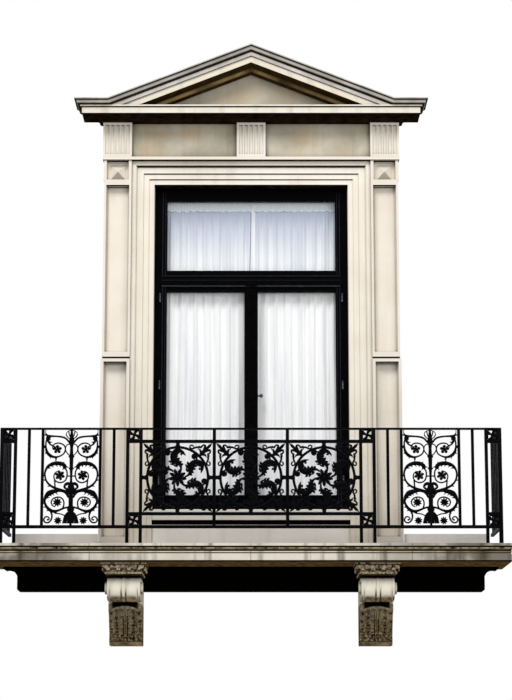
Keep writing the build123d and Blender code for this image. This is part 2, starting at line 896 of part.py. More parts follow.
def flat_casting(width, height):
    """Square rim with a pinwheel of four leaves."""
    shape = Rectangle(width, height) - Rectangle(width - 2 * casting_rim, height - 2 * casting_rim)
    shape += RegularPolygon(casting_hub, casting_petals)
    reach = hypot(width, height) / 2 - casting_rim
    for index in range(casting_petals):
        angle = 360 / casting_petals * (index + 0.5)
        petal = [(0, 0), polar(reach / 2, angle - petal_lean), polar(reach, angle)]
        shape += outline(petal + [polar(reach / 2, angle + 2 * petal_lean)])
    return shape


def make_castings():
    """Small castings between the posts of each pair, above and below."""
    half = post_width / 2
    spans = [(pair_offset + half, pair_offset + pair_pitch - half)]
    spans.append((outer_pair + half, corner_post - corner_post_width / 2))
    levels = [(bar_foot, lower_rail_height), (upper_rail_height + rail_thickness, bar_top)]
    pieces = []
    for left, right in spans:
        for low, high in levels:
            casting = extrude(flat_casting(right - left, high - low), plate / 2, both=True)
            for side in (-1, 1):
                pieces.append(railing_plane * (Pos(side * (left + right) / 2, (low + high) / 2) * casting))
    return Part() + pieces


def make_side_railing():
    """Plain railing from the right corner post back to the wall."""
    start = corner_post_width / 2 - rail_line
    width = corner_post_width / 2
    x_range = (corner_post - width, corner_post + width)
    top = block(x_range, (handrail_depth / 2 - rail_line, 0), (bar_top, railing_height))
    width = rail_thickness / 2
    low = block((corner_post - width, corner_post + width), (start, 0), (bottom_rail_height, bar_foot))
    width = bar_width / 2
    x_range = (corner_post - width, corner_post + width)
    bars = []
    for index in range(side_bar_count):
        place = start * (index + 1) / (side_bar_count + 1)
        bars.append(block(x_range, (place - width, place + width), (bar_foot, bar_top)))
    return top + low + bars


save("balcony_slab", make_slab())
save("bed_moulding", make_bed_moulding())
save("consoles", both(make_console()))
save("console_caps", both(make_console_cap()))
save("wall_base", both(make_wall_base()))
save("door_apron", make_apron())
save("door_sill", make_sill())
save_pair("pilaster_base", make_pilaster_base())
save_pair("pilaster_shaft", make_pilaster(impost_top, neck_base))
save("pilaster_bosses", both(make_pilaster_boss()))
save("fluted_blocks", make_fluted_blocks())
save("frieze", make_frieze())
save_pair("architrave", make_jamb())
save("architrave_head", make_head())
save("cornice", make_cornice())
save_pair("raking_cornice", make_raking_cornice())
save("tympanum", make_tympanum())
save("window_frame", make_window_frame())
save("fanlight_sash", make_fanlight())
save_pair("door_leaf", make_leaf())
save("cover_strip", make_cover_strip())
save("glass_panes", make_panes())
save("door_fittings", make_fittings())
save("curtain_rod", make_rod())
save_pair("curtain", make_curtain())
save("handrail", make_handrail())
save("bottom_rail", make_bottom_rail())
save("panel_rails", make_panel_rails())
save("railing_posts", make_posts())
save("plain_bars", make_bars())
save_pair("scroll_panel", make_scroll_panel())
inner_edge = centre_post_offset - centre_post_width / 2
near_edge = inner_edge + centre_post_width
far_edge = pair_offset - post_width / 2
save("ring_panel_left", make_ring_panel((-far_edge, -near_edge)))
save("ring_panel_centre", make_ring_panel((-inner_edge, inner_edge)))
save("ring_panel_right", make_ring_panel((near_edge, far_edge)))
save("square_castings", make_castings())
save("side_railings", both(make_side_railing()))
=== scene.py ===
import json
import logging
import random
from dataclasses import dataclass, field
from enum import Enum
from math import atan2, cos, pi, radians, sin
from typing import Iterable

import bpy
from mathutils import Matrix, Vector

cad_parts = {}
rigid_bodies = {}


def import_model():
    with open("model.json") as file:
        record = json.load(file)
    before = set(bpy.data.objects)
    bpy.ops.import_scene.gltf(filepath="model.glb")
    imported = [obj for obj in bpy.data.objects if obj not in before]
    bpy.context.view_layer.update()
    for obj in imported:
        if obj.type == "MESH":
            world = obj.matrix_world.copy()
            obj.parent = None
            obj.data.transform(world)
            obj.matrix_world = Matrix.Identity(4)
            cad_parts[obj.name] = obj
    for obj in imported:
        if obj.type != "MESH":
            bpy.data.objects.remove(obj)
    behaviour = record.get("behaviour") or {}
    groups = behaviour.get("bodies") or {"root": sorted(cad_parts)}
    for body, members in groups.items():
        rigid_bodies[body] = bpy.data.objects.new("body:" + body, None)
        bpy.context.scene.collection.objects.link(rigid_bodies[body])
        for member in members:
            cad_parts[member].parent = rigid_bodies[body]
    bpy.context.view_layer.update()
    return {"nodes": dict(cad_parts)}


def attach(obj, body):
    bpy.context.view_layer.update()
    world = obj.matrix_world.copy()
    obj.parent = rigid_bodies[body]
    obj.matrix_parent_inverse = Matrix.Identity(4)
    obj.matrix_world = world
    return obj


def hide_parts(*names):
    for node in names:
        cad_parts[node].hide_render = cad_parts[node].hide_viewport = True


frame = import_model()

LOG = logging.getLogger("balcony")

# Metres in a millimetre; then, in millimetres: the slab's top over the frame's origin, how far the railing stands
# out from the wall, and the usual thickness of its castings.
MM = 0.001
SLAB_TOP = 70.0
RAIL_LINE = 650.0
PLATE = 16.0

Point = tuple[float, float]
Tone = tuple[float, float, float]
Size = tuple[float, float, float]
Step = tuple[float, float, float, float]
Line = list[Point]
Widths = list[float]
Socket = bpy.types.NodeSocket
Material = bpy.types.Material


def tone(red: float, green: float, blue: float) -> Tone:
    """Linear colour of a paint chip given as 0 to 255."""
    return tuple((level / 255 / 12.92) if level < 11 else ((level / 255 + 0.055) / 1.055) ** 2.4
                 for level in (red, green, blue))


PALE = tone(244, 236, 222)
# Near black of the painted shadow lines along mouldings.
SHADOW_LINE = tone(8, 6, 4)


class Grain(Enum):
    """Which way a pattern is drawn out."""

    EVEN = (1.0, 1.0, 1.0)
    UPRIGHT = (1.0, 1.0, 0.07)
    LEVEL = (0.08, 1.0, 1.0)


class Recipe:
    """A procedural material while its colours are laid one over another."""

    def __init__(self, name: str, base: Tone) -> None:
        """Start a material whose patterns are in metres on the object.

        Args:
            name: Name of the finish.
            base: Colour that the others are laid on.
        """
        self.material = bpy.data.materials.new(name)
        self.material.use_nodes = True
        self.tree = self.material.node_tree
        self.surface = self.tree.nodes["Principled BSDF"]
        self.place = self.tree.nodes.new("ShaderNodeTexCoord").outputs["Object"]
        self.normal = self.tree.nodes.new("ShaderNodeNewGeometry").outputs["Normal"]
        self.colour: object = base

    def put(self, socket: Socket, value: object) -> None:
        """Join a socket to a node's output, or write a plain value on it.

        Args:
            socket: Input to fill.
            value: Output socket, number or colour.
        """
        if isinstance(value, Socket):
            self.tree.links.new(value, socket)
        elif isinstance(value, tuple) and len(value) == 3 and socket.type == "RGBA":
            socket.default_value = (*value, 1.0)
        else:
            socket.default_value = value

    def node(self, kind: str, inputs: dict[str | int, object], **settings: object) -> bpy.types.Node:
        """Add a node.

        Args:
            kind: Its type, without the word that all types begin with.
            inputs: What goes to its inputs: output sockets, numbers or colours.
            settings: Values of the node's own options.

        Returns:
            The node.
        """
        node = self.tree.nodes.new(f"ShaderNode{kind}")
        for name, value in settings.items():
            setattr(node, name, value)
        for name, value in inputs.items():
            self.put(node.inputs[name], value)
        return node

    def noise(self, scale: float, detail: float, grain: Grain = Grain.EVEN) -> Socket:
        """Cloudy pattern from 0 to 1.

        Args:
            scale: Clouds for each metre.
            detail: Layers of finer clouds.
            grain: Way in which the clouds are drawn out.

        Returns:
            Output of the pattern.
        """
        drawn = self.node("Mapping", {"Vector": self.place, "Scale": grain.value}).outputs["Vector"]
        return self.node("TexNoise", {"Vector": drawn, "Scale": scale, "Detail": detail}).outputs["Fac"]

    def mask(self, value: Socket, low: float, high: float, top: float = 1.0) -> Socket:
        """Spread part of a value's range over 0 to top.

        Args:
            value: Output to read.
            low: Value that gives 0.
            high: Value that gives top.
            top: Highest result.

        Returns:
            Clamped output.
        """
        inputs = {"Value": value, "From Min": low, "From Max": high, "To Max": top}
        return self.node("MapRange", inputs).outputs["Result"]

    def clouds(self, scale: float, detail: float, low: float, high: float, top: float = 1.0,
               grain: Grain = Grain.EVEN) -> Socket:
        """Mask made from a cloudy pattern.

        Args:
            scale: Clouds for each metre.
            detail: Layers of finer clouds.
            low: Level of the pattern that gives 0.
            high: Level of the pattern that gives top.
            top: Highest result.
            grain: Way in which the clouds are drawn out.

        Returns:
            Output from 0 to top.
        """
        return self.mask(self.noise(scale, detail, grain), low, high, top)

    def sum(self, kind: str, first: object, second: object = 0.0) -> Socket:
        """Work out a sum of two values.

        Args:
            kind: Operation of the math node.
            first: First value.
            second: Second value.

        Returns:
            Result of the sum.
        """
        return self.node("Math", {0: first, 1: second}, operation=kind).outputs["Value"]

    def plus(self, first: object, second: object) -> Socket:
        """Two values added."""
        return self.sum("ADD", first, second)

    def times(self, first: object, second: object) -> Socket:
        """Two values multiplied."""
        return self.sum("MULTIPLY", first, second)

    def less(self, first: object, second: object) -> Socket:
        """The second value taken from the first."""
        return self.sum("SUBTRACT", first, second)

    def squared(self, value: Socket) -> Socket:
        """A value above 0 times itself."""
        return self.sum("POWER", value, 2.0)

    def off(self, value: Socket, level: float) -> Socket:
        """How far a value is from a level, either way."""
        return self.sum("ABSOLUTE", self.less(value, level))

    def near(self, value: Socket, level: float, half: float, soft: float) -> Socket:
        """Mask of a thin line at one level of a value.

        Args:
            value: Output to read.
            level: Level of the line's middle.
            half: Half its width.
            soft: Width of its soft edge.

        Returns:
            Output from 0 beside the line to 1 on it.
        """
        return self.mask(self.off(value, level), half + soft, half)

    def within(self, value: Socket, low: Point, high: Point) -> Socket:
        """Mask of a part of a value's range, from two masks."""
        return self.times(self.mask(value, *low), self.mask(value, *high))

    def blend(self, share: Socket, under: object, over: object) -> Socket:
        """Lay one colour over another.

        Args:
            share: How much of the upper colour shows.
            under: Lower colour.
            over: Upper colour.

        Returns:
            Mixed colour.
        """
        return self.node("Mix", {"Factor": share, 6: under, 7: over}, data_type="RGBA").outputs[2]

    def lay(self, over: object, share: Socket) -> None:
        """Lay a colour over the material's colour so far."""
        self.colour = self.blend(share, self.colour, over)

    def axis(self, name: str) -> Socket:
        """Place on the object along X, Y or Z, in metres."""
        return self.node("SeparateXYZ", {0: self.place}).outputs[name]

    def side(self) -> Socket:
        """Distance from the facade's middle, left or right."""
        return self.sum("ABSOLUTE", self.axis("X"))

    def facing_up(self) -> Socket:
        """How far a face looks up, from -1 to 1."""
        return self.node("SeparateXYZ", {0: self.normal}).outputs["Z"]

    def corners(self, reach: float) -> Socket:
        """How deep in a corner a point lies, from 0 in the open to 1, feeling walls within a reach in metres."""
        return self.less(1.0, self.node("AmbientOcclusion", {"Distance": reach}, samples=6).outputs["AO"])

    def rough_skin(self, height: Socket, strength: float, depth: float) -> None:
        """Raise the surface by a pattern.

        Args:
            height: Pattern to raise.
            strength: How strongly it shows.
            depth: Its depth in metres.
        """
        bump = self.node("Bump", {"Strength": strength, "Distance": depth, "Height": height})
        self.put(self.surface.inputs["Normal"], bump.outputs["Normal"])

    def finish(self, roughness: object, specular: float) -> Material:
        """Fill the shader's own sockets.

        Args:
            roughness: Roughness.
            specular: Specular level.

        Returns:
            The material.
        """
        self.put(self.surface.inputs["Base Color"], self.colour)
        self.put(self.surface.inputs["Roughness"], roughness)
        self.surface.inputs["Specular IOR Level"].default_value = specular
        return self.material


@dataclass(frozen=True)
class Stone:
    """Weathered limestone, with its own tones for faces, stains and soffits in painted shade, and its own share of each
    kind of dirt and of painted shade in corners and on faces that look down.
    """

    name: str
    face: Tone
    shade: Tone
    # under: colour of faces that look down, painted shade together with the soffits' brown staining.
    under: Tone = tone(72, 54, 36)
    # Colour of stains, streaks and joints, and also of the painted shade in corners and on soffits.
    stain_and_shade: Tone = tone(66, 56, 42)
    warm: Tone = tone(206, 178, 132)
    streaks: float = 0.25
    patches: float = 0.5
    warmth: float = 0.12
    mottle: float = 0.0
    # Share of painted shade on faces that look down, and how far down a face must look to take the full soffit shade.
    down_shade: float = 0.45
    soffit_shade_from: float = -0.45
    # Share of painted shade that darkens corners and recesses, and how far, in metres, the shade feels for walls.
    corner_shade: float = 0.6
    reach: float = 0.05
    band: Point | None = None
    # Tone of the moulding band; the near black default is painted shade under an overhang.
    band_tone: Tone = tone(24, 15, 8)
    edges: tuple[float, ...] = ()
    line: float = 0.004
    pale_below: float | None = None
    dark_ends: float = 0.0
    ends_from: Point = (0.75, 1.6)
    joint_pitch: float = 0.0

    def tint(self, mix: Recipe) -> None:
        """Lay on colours that only some stones have; a plain stone has none."""

    def draw_band(self, mix: Recipe) -> None:
        """Colour a moulding between two levels, by default near black as painted shade under an overhang, with thin
        painted shadow lines at its edges.

        Args:
            mix: Material being mixed.
        """
        rise, (low, high), soft = mix.axis("Z"), self.band, 0.002
        mould = mix.blend(mix.clouds(26, 7, 0.4, 0.65), self.band_tone, self.stain_and_shade)
        mix.lay(mould, mix.within(rise, (low - soft, low), (high + soft, high)))
        # Thin painted shadow lines at the band's edges and at the other edges given.
        for level in self.band + self.edges:
            mix.lay(SHADOW_LINE, mix.near(rise, level, self.line, 0.0015))

    def mix(self) -> Material:
        """Mix the stone: cloudy faces, upright streaks, painted shade in the corners, and soffits darkened as painted
        shade.

        Returns:
            The material.
        """
        mix = Recipe(self.name, self.face)
        mix.lay(self.shade, mix.clouds(2.3, 6, 0.42, 0.68, self.patches))
        mix.lay(self.shade, mix.clouds(95, 3, 0.55, 0.75, 0.22))
        mix.lay(self.stain_and_shade, mix.clouds(11, 5, 0.52, 0.75, self.streaks, Grain.UPRIGHT))
        mix.lay(self.warm, mix.clouds(4.1, 6, 0.48, 0.72, self.warmth))
        if self.dark_ends:
            ends = mix.mask(mix.side(), *self.ends_from, self.dark_ends)
            mix.lay(self.stain_and_shade, mix.times(ends, mix.clouds(5, 6, 0.3, 0.55)))
        if self.pale_below is not None:
            mix.lay(PALE, mix.mask(mix.axis("Z"), self.pale_below, self.pale_below - 0.002, 0.85))
        if self.joint_pitch:
            joint = mix.sum("PINGPONG", mix.axis("X"), self.joint_pitch)
            mix.lay(self.stain_and_shade, mix.mask(joint, 0.006, 0.001, 0.55))
        self.tint(mix)
        if self.mottle:
            mix.lay(self.stain_and_shade, mix.clouds(42, 7, 0.5, 0.62, self.mottle))
        # Painted shade: faces that look down darken towards the under tone.
        mix.lay(self.under, mix.mask(mix.facing_up(), -0.08, -0.42, self.down_shade))
        # Painted shade in corners and recesses, found by ambient occlusion, laid in the colour of stains.
        mix.lay(self.stain_and_shade, mix.mask(mix.corners(self.reach), 0.22, 0.78, self.corner_shade))
        # A moulding band with painted shadow lines, where the stone has one.
        if self.band:
            self.draw_band(mix)
        # Painted shade on soffits: faces that look well down take the under tone, clouded with the colour of stains.
        soffit = mix.mask(mix.facing_up(), self.soffit_shade_from, self.soffit_shade_from - 0.25)
        mix.lay(mix.blend(mix.clouds(14, 5, 0.35, 0.7), self.under, self.stain_and_shade), soffit)
        mix.rough_skin(mix.plus(mix.noise(260, 3), mix.times(mix.noise(30, 6), 1.5)), 0.35, 0.004)
        return mix.finish(mix.clouds(40, 3, 0.2, 0.9, 0.95), 0.0)


@dataclass(frozen=True)
class RakeStone(Stone):
    """Stone of the raking cornice: grey top moulding, cream face and olive brown underside in dark courses, its brown
    staining darkened as painted shade.
    """

    grey: Tone = tone(206, 202, 196)
    # olive: underside of the raking cornice, brown staining together with painted shade, crossed by dark lines every
    # course.
    olive: Tone = tone(168, 144, 100)
    joint: Tone = tone(14, 9, 4)
    pitch: float = 21.5
    crest: float = 3.9236
    grey_to: Point = (0.086, 0.08)
    olive_from: Point = (0.131, 0.136)
    course: float = 0.03
    ends: float = 1.17
    ends_above: Point = (3.706, 3.712)

    def tint(self, mix: Recipe) -> None:
        """Colour the courses by their distance from the slope's top, the underside's brown staining with painted shade,
        and the level ends grey.

        Args:
            mix: Material being mixed.
        """
        side, rise, angle = mix.side(), mix.axis("Z"), radians(self.pitch)
        slope = mix.plus(mix.times(side, sin(angle)), mix.times(rise, cos(angle)))
        grey = mix.blend(mix.clouds(7, 6, 0.35, 0.65, 0.6), self.grey, self.shade)
        mix.lay(grey, mix.mask(slope, *(self.crest - depth for depth in self.grey_to)))
        # Painted shade with brown staining on the underside, with dark lines along its courses.
        brown = mix.blend(mix.clouds(6, 6, 0.4, 0.7, 0.8), self.olive, self.stain_and_shade)
        courses = mix.sum("PINGPONG", mix.plus(slope, mix.axis("Y")), self.course)
        brown = mix.blend(mix.mask(courses, 0.013, 0.005), brown, self.joint)
        mix.lay(brown, mix.mask(slope, *(self.crest - depth for depth in self.olive_from)))
        level = mix.times(mix.mask(side, self.ends, self.ends + 0.01), mix.mask(rise, *self.ends_above))
        mix.lay(grey, mix.times(level, 0.8))


@dataclass(frozen=True)
class ConsoleStone(Stone):
    """Stone of the consoles: cream rolls, a black undercut of painted shadow, and an olive, mottled leaf below, its
    moss with painted shade.
    """

    # leaf: olive of the lower console, its moss together with painted shade.
    leaf: Tone = tone(150, 134, 104)
    moss: Tone = tone(104, 84, 44)
    dusty: Tone = tone(196, 186, 160)
    # hollow, hole and black are painted shade: in the leaf's stem groove, in its drilled eyes and along its hem, and
    # near black in the undercut and the gap at the neck; hollow also flecks the leaf.
    hollow: Tone = tone(34, 25, 14)
    hole: Tone = tone(14, 10, 6)
    black: Tone = tone(12, 8, 5)
    offset: float = 0.982
    undercut: Point = (-0.385, -0.338)
    undercut_half: Point = (0.116, 0.094)
    arch: float = 1.9
    neck: Point = (-0.184, -0.158)
    stem: float = 0.0135
    hem: float = -0.653
    eyes: tuple[Point, ...] = ((0.064, -0.422), (0.11, -0.442), (0.066, -0.476), (0.112, -0.502), (0.064, -0.53))
    eye_width: float = 0.021

    def tint(self, mix: Recipe) -> None:
        """Colour the leaf, moss with painted shade, with painted shade in its drilled eyes, stem groove and hem, the
        undercut above it and the gap at the neck.

        Args:
            mix: Material being mixed.
        """
        across, level, (low, top) = mix.off(mix.side(), self.offset), mix.axis("Z"), self.undercut
        arched = mix.plus(level, mix.times(mix.squared(across), self.arch))
        rise = mix.plus(arched, mix.times(mix.noise(16, 3), 0.012))
        # Below the roll the console takes the olive leaf colour: moss with painted shade, as it lies in shadow.
        flecks = mix.blend(mix.clouds(55, 7, 0.44, 0.58), self.leaf, self.hollow)
        moss_and_shade = mix.blend(mix.clouds(9, 5, 0.45, 0.65, 0.6), flecks, self.moss)
        mix.lay(moss_and_shade, mix.mask(rise, top + 0.012, top - 0.004))
        mix.lay(self.dusty, mix.mask(rise, -0.5, -0.4, 0.3))
        # Painted shade in the groove of the leaf's stem.
        mix.lay(self.hollow, mix.times(mix.near(across, self.stem, 0.0035, 0.002), mix.mask(rise, -0.45, -0.48)))
        size = (self.eye_width / 2) ** 2
        # Painted shade in the drilled eyes.
        for aside, height in self.eyes:
            away = mix.plus(mix.squared(mix.off(across, aside)), mix.squared(mix.off(level, height)))
            mix.lay(self.hole, mix.mask(away, size * 1.5, size * 0.8))
        # Painted shadow line along the leaf's hem.
        mix.lay(self.hole, mix.near(level, self.hem, 0.0035, 0.002))
        # Painted shadow in the undercut below the roll, near black.
        dark = mix.within(rise, (top + 0.01, top + 0.004), (low, low + 0.006))
        mix.lay(self.black, mix.times(dark, mix.mask(across, *self.undercut_half)))
        # Painted shadow in the gap at the neck under the cap.
        low, top = self.neck
        mix.lay(self.black, mix.within(level, (top, top - 0.003), (low, low + 0.005)))


@dataclass(frozen=True)
class CastIron:
    """Black painted iron with a cool sheen and dust on what faces up and in specks."""

    name: str = "black_iron"
    paint: Tone = tone(3, 3, 6)
    dust: Tone = tone(22, 22, 30)

    def mix(self) -> Material:
        """Mix the paint, thin dust on what faces up, and the casting's skin.

        Returns:
            The material.
        """
        mix = Recipe(self.name, self.paint)
        upward = mix.mask(mix.facing_up(), 0.2, 1.0, 0.55)
        mix.lay(self.dust, mix.times(upward, mix.clouds(40, 5, 0.35, 0.65)))
        mix.lay(self.dust, mix.clouds(120, 4, 0.6, 0.75, 0.4))
        mix.rough_skin(mix.noise(420, 4), 0.25, 0.0012)
        return mix.finish(mix.plus(0.38, mix.clouds(60, 3, 0.3, 0.7, 0.22)), 0.03)


@dataclass(frozen=True)
class GlossPaint:
    """Dark gloss paint on the window's wood, with brush marks along it."""

    name: str = "dark_gloss"
    paint: Tone = tone(3, 2, 3)
    worn: Tone = tone(16, 16, 20)

    def mix(self) -> Material:
        """Mix the paint, its brush marks and worn specks.

        Returns:
            The material.
        """
        mix = Recipe(self.name, self.paint)
        brush = mix.noise(300, 3, Grain.UPRIGHT)
        mix.lay(self.worn, mix.mask(brush, 0.4, 0.8, 0.2))
        mix.lay(self.worn, mix.clouds(55, 6, 0.62, 0.72, 0.6))
        mix.rough_skin(brush, 0.15, 0.001)
        return mix.finish(mix.plus(0.22, mix.clouds(18, 4, 0.35, 0.7, 0.2)), 0.02)


@dataclass(frozen=True)
class Metal:
    """Bare worn metal of the small fittings."""

    name: str
    bright: Tone
    dull: Tone

    def mix(self) -> Material:
        """Mix bright metal with dull patches and fine scratches.

        Returns:
            The material.
        """
        mix = Recipe(self.name, self.bright)
        mix.lay(self.dull, mix.clouds(90, 5, 0.4, 0.65))
        mix.surface.inputs["Metallic"].default_value = 0.85
        mix.rough_skin(mix.noise(700, 2, Grain.LEVEL), 0.2, 0.0006)
        return mix.finish(mix.plus(0.28, mix.clouds(70, 3, 0.3, 0.7, 0.25)), 0.5)


@dataclass(frozen=True)
class Glass:
    """Clear old glass with a faint film of dust, bluish in the fanlight as painted shade."""

    name: str = "old_glass"
    shaded: Tone = tone(214, 222, 234)
    bright: Tone = tone(253, 254, 255)
    fanlight: Point = (2.1, 2.4)

    def mix(self) -> Material:
        """Mix the glass: painted shade over the fanlight, dusty film and slight waves.

        Returns:
            The material.
        """
        mix = Recipe(self.name, self.bright)
        # Painted shade: the fanlight's panes take the shaded tone.
        mix.lay(self.shaded, mix.mask(mix.axis("Z"), *self.fanlight))
        mix.lay(self.bright, mix.clouds(3, 5, 0.45, 0.75, 0.3))
        mix.surface.inputs["Alpha"].default_value = 0.05
        mix.rough_skin(mix.noise(2.2, 2), 0.08, 0.01)
        return mix.finish(mix.plus(0.03, mix.clouds(25, 4, 0.5, 0.8, 0.1)), 0.5)


@dataclass(frozen=True)
class Net:
    """White net, bluish where the reveal shades it and along the folds as painted shade, with a scalloped heading over
    a painted shadow line, a painted shaded slit at the parting and a bright hem beside it.
    """

    name: str = "white_net"
    low: Tone = tone(255, 255, 255)
    # high: bluish grey of the painted shade higher up and along the folds.
    high: Tone = tone(184, 194, 212)
    # Blue grey of the painted shadow line under the heading and of the painted shade in the parting.
    shade_line: Tone = tone(104, 114, 136)
    above: Tone = tone(242, 248, 255)
    heading: float = 2.916
    bright_below: float = 2.46
    scallop: Point = (0.03, 0.35)
    parting: Point = (0.0217, 0.0636)
    thread: float = 0.0012

    def mix(self) -> Material:
        """Mix the net: fine weave, paler cloth lower down under painted shade higher up and along the folds, heading
        over a painted shadow line, parting in painted shade, and hem.

        Returns:
            The material.
        """
        mix = Recipe(self.name, self.low)
        rise, head = mix.axis("Z"), self.heading
        # Painted shade: the cloth turns bluish grey towards the heading, where the reveal shades it.
        mix.lay(self.high, mix.mask(rise, self.bright_below, head))
        # Upright streaks of painted shade along the folds.
        mix.lay(self.high, mix.clouds(14, 4, 0.5, 0.72, 0.3, Grain.UPRIGHT))
        scallop = mix.times(mix.sum("PINGPONG", mix.axis("X"), self.scallop[0]), self.scallop[1])
        edge = mix.less(rise, scallop)
        mix.lay(self.above, mix.mask(edge, head, head + 0.002))
        # Painted shadow along the top of the hanging cloth: a dark scalloped line under the heading.
        shade_line = mix.within(edge, (head - 0.004, head), (head + 0.005, head + 0.002))
        mix.lay(self.shade_line, mix.times(shade_line, mix.clouds(30, 3, 0.35, 0.6)))
        beside = mix.less(mix.axis("X"), mix.less(mix.times(rise, self.parting[0]), self.parting[1]))
        mix.lay(self.low, mix.times(mix.within(beside, (-0.001, 0.003), (0.036, 0.03)), 0.7))
        # Painted shade in the slit of the parting, below the heading.
        slit = mix.near(beside, 0.0, 0.002, 0.003)
        mix.lay(self.shade_line, mix.times(slit, mix.mask(rise, head, head - 0.01)))
        weave, weft = (mix.sum("PINGPONG", mix.axis(name), self.thread) for name in "XZ")
        mix.rough_skin(mix.plus(weave, weft), 0.15, 0.6)
        mix.surface.inputs["Sheen Weight"].default_value = 0.2
        return mix.finish(mix.plus(0.75, mix.clouds(200, 2, 0.3, 0.7, 0.15)), 0.2)


@dataclass(frozen=True)
class StudioFloor:
    """Plain pale studio floor."""

    name: str = "studio_floor"
    pale: Tone = tone(236, 236, 234)
    cloud: Tone = tone(228, 228, 226)

    def mix(self) -> Material:
        """Mix a pale matt floor.

        Returns:
            The material.
        """
        mix = Recipe(self.name, self.pale)
        mix.lay(self.cloud, mix.clouds(0.6, 3, 0.3, 0.7, 0.3))
        return mix.finish(0.9, 0.1)


def dress(nodes: Iterable[str], material: Material) -> None:
    """Give CAD nodes a finish through their own slots.

    Args:
        nodes: Names of the nodes.
        material: Finish to assign.
    """
    for name in nodes:
        node = frame["nodes"][name]
        if not node.material_slots:
            node.data.materials.append(material)
        for slot in node.material_slots:
            slot.material = material
        LOG.info("dressed %s in %s", name, material.name)


def finish_of(name: str) -> Material:
    """Finish that a CAD node wears."""
    return frame["nodes"][name].material_slots[0].material


def at(x: float, z: float, projection: float) -> Vector:
    """Place in metres of millimetres across, above the slab and out from the wall."""
    return Vector((x * MM, -projection * MM, (z + SLAB_TOP) * MM))


def open_piece(name: str) -> bpy.types.Object:
    """Start an empty piece in edit mode at the origin.

    Args:
        name: Name of the piece.

    Returns:
        The piece.
    """
    bpy.ops.object.select_all(action="DESELECT")
    bpy.ops.mesh.primitive_plane_add(size=0.01, location=(0, 0, 0))
    piece = bpy.context.object
    piece.name = name
    bpy.ops.object.mode_set(mode="EDIT")
    bpy.ops.mesh.select_all(action="SELECT")
    bpy.ops.mesh.delete(type="VERT")
    return piece


def close_piece(piece: bpy.types.Object, material: Material, angle: float = 40) -> None:
    """Leave edit mode, point the faces outwards, smooth and dress the piece, and fix it to the frame.

    Args:
        piece: Piece in edit mode.
        material: Its finish.
        angle: Sharpest edge that is smoothed, in degrees.
    """
    bpy.ops.mesh.select_all(action="SELECT")
    bpy.ops.mesh.normals_make_consistent(inside=False)
    bpy.ops.object.mode_set(mode="OBJECT")
    bpy.ops.object.shade_smooth_by_angle(angle=radians(angle))
    piece.data.materials.append(material)
    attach(piece, "root")
    LOG.info("made %s with %d faces", piece.name, len(piece.data.polygons))


def copy_piece(piece: bpy.types.Object, name: str, shift: float = 0.0,
               mirror: bool = False) -> bpy.types.Object:
    """Copy a finished piece to another place, with its own mesh.

    Args:
        piece: Piece to copy.
        name: Name of the copy.
        shift: How far the copy is moved to the right, in metres.
        mirror: Whether left and right change sides first.

    Returns:
        The copy.
    """
    bpy.ops.object.select_all(action="DESELECT")
    piece.select_set(True)
    bpy.context.view_layer.objects.active = piece
    bpy.ops.object.duplicate()
    copy = bpy.context.object
    copy.name = name
    bpy.ops.object.mode_set(mode="EDIT")
    bpy.ops.mesh.select_all(action="SELECT")
    if mirror:
        bpy.ops.transform.resize(value=(-1, 1, 1), center_override=(0, 0, 0))
        bpy.ops.mesh.normals_make_consistent(inside=False)
    bpy.ops.transform.translate(value=(shift, 0, 0))
    bpy.ops.object.mode_set(mode="OBJECT")
    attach(copy, "root")
    LOG.info("copied %s to %s", piece.name, name)
    return copy


def flow(points: Line, steps: int) -> Line:
    """Smooth line through points.

    Args:
        points: Places the line goes through.
        steps: Divisions between each two of them.

    Returns:
        Points along the line.
    """
    ends = [points[0], *points, points[-1]]
    line = []
    for a, b, c, d in zip(ends, ends[1:], ends[2:], ends[3:]):
        for step in range(steps):
            t = step / steps
            line.append(tuple(
                0.5 * (2 * q + (r - p) * t + (2 * p - 5 * q + 4 * r - s) * t * t + (3 * q - p - 3 * r + s) * t ** 3)
                for p, q, r, s in zip(a, b, c, d)))
    return [*line, points[-1]]


def spread(values: Widths, count: int) -> Widths:
    """Values spread evenly over a number of places.

    Args:
        values: Few values along the way.
        count: Number of places.

    Returns:
        One value for each place.
    """
    result = []
    for index in range(count):
        place = index / (count - 1) * (len(values) - 1)
        low = min(int(place), len(values) - 2)
        result.append(values[low] + (values[low + 1] - values[low]) * (place - low))
    return result


def swing(before: float, after: float) -> float:
    """Turn from one heading to another, the short way round."""
    return (after - before + pi) % (2 * pi) - pi


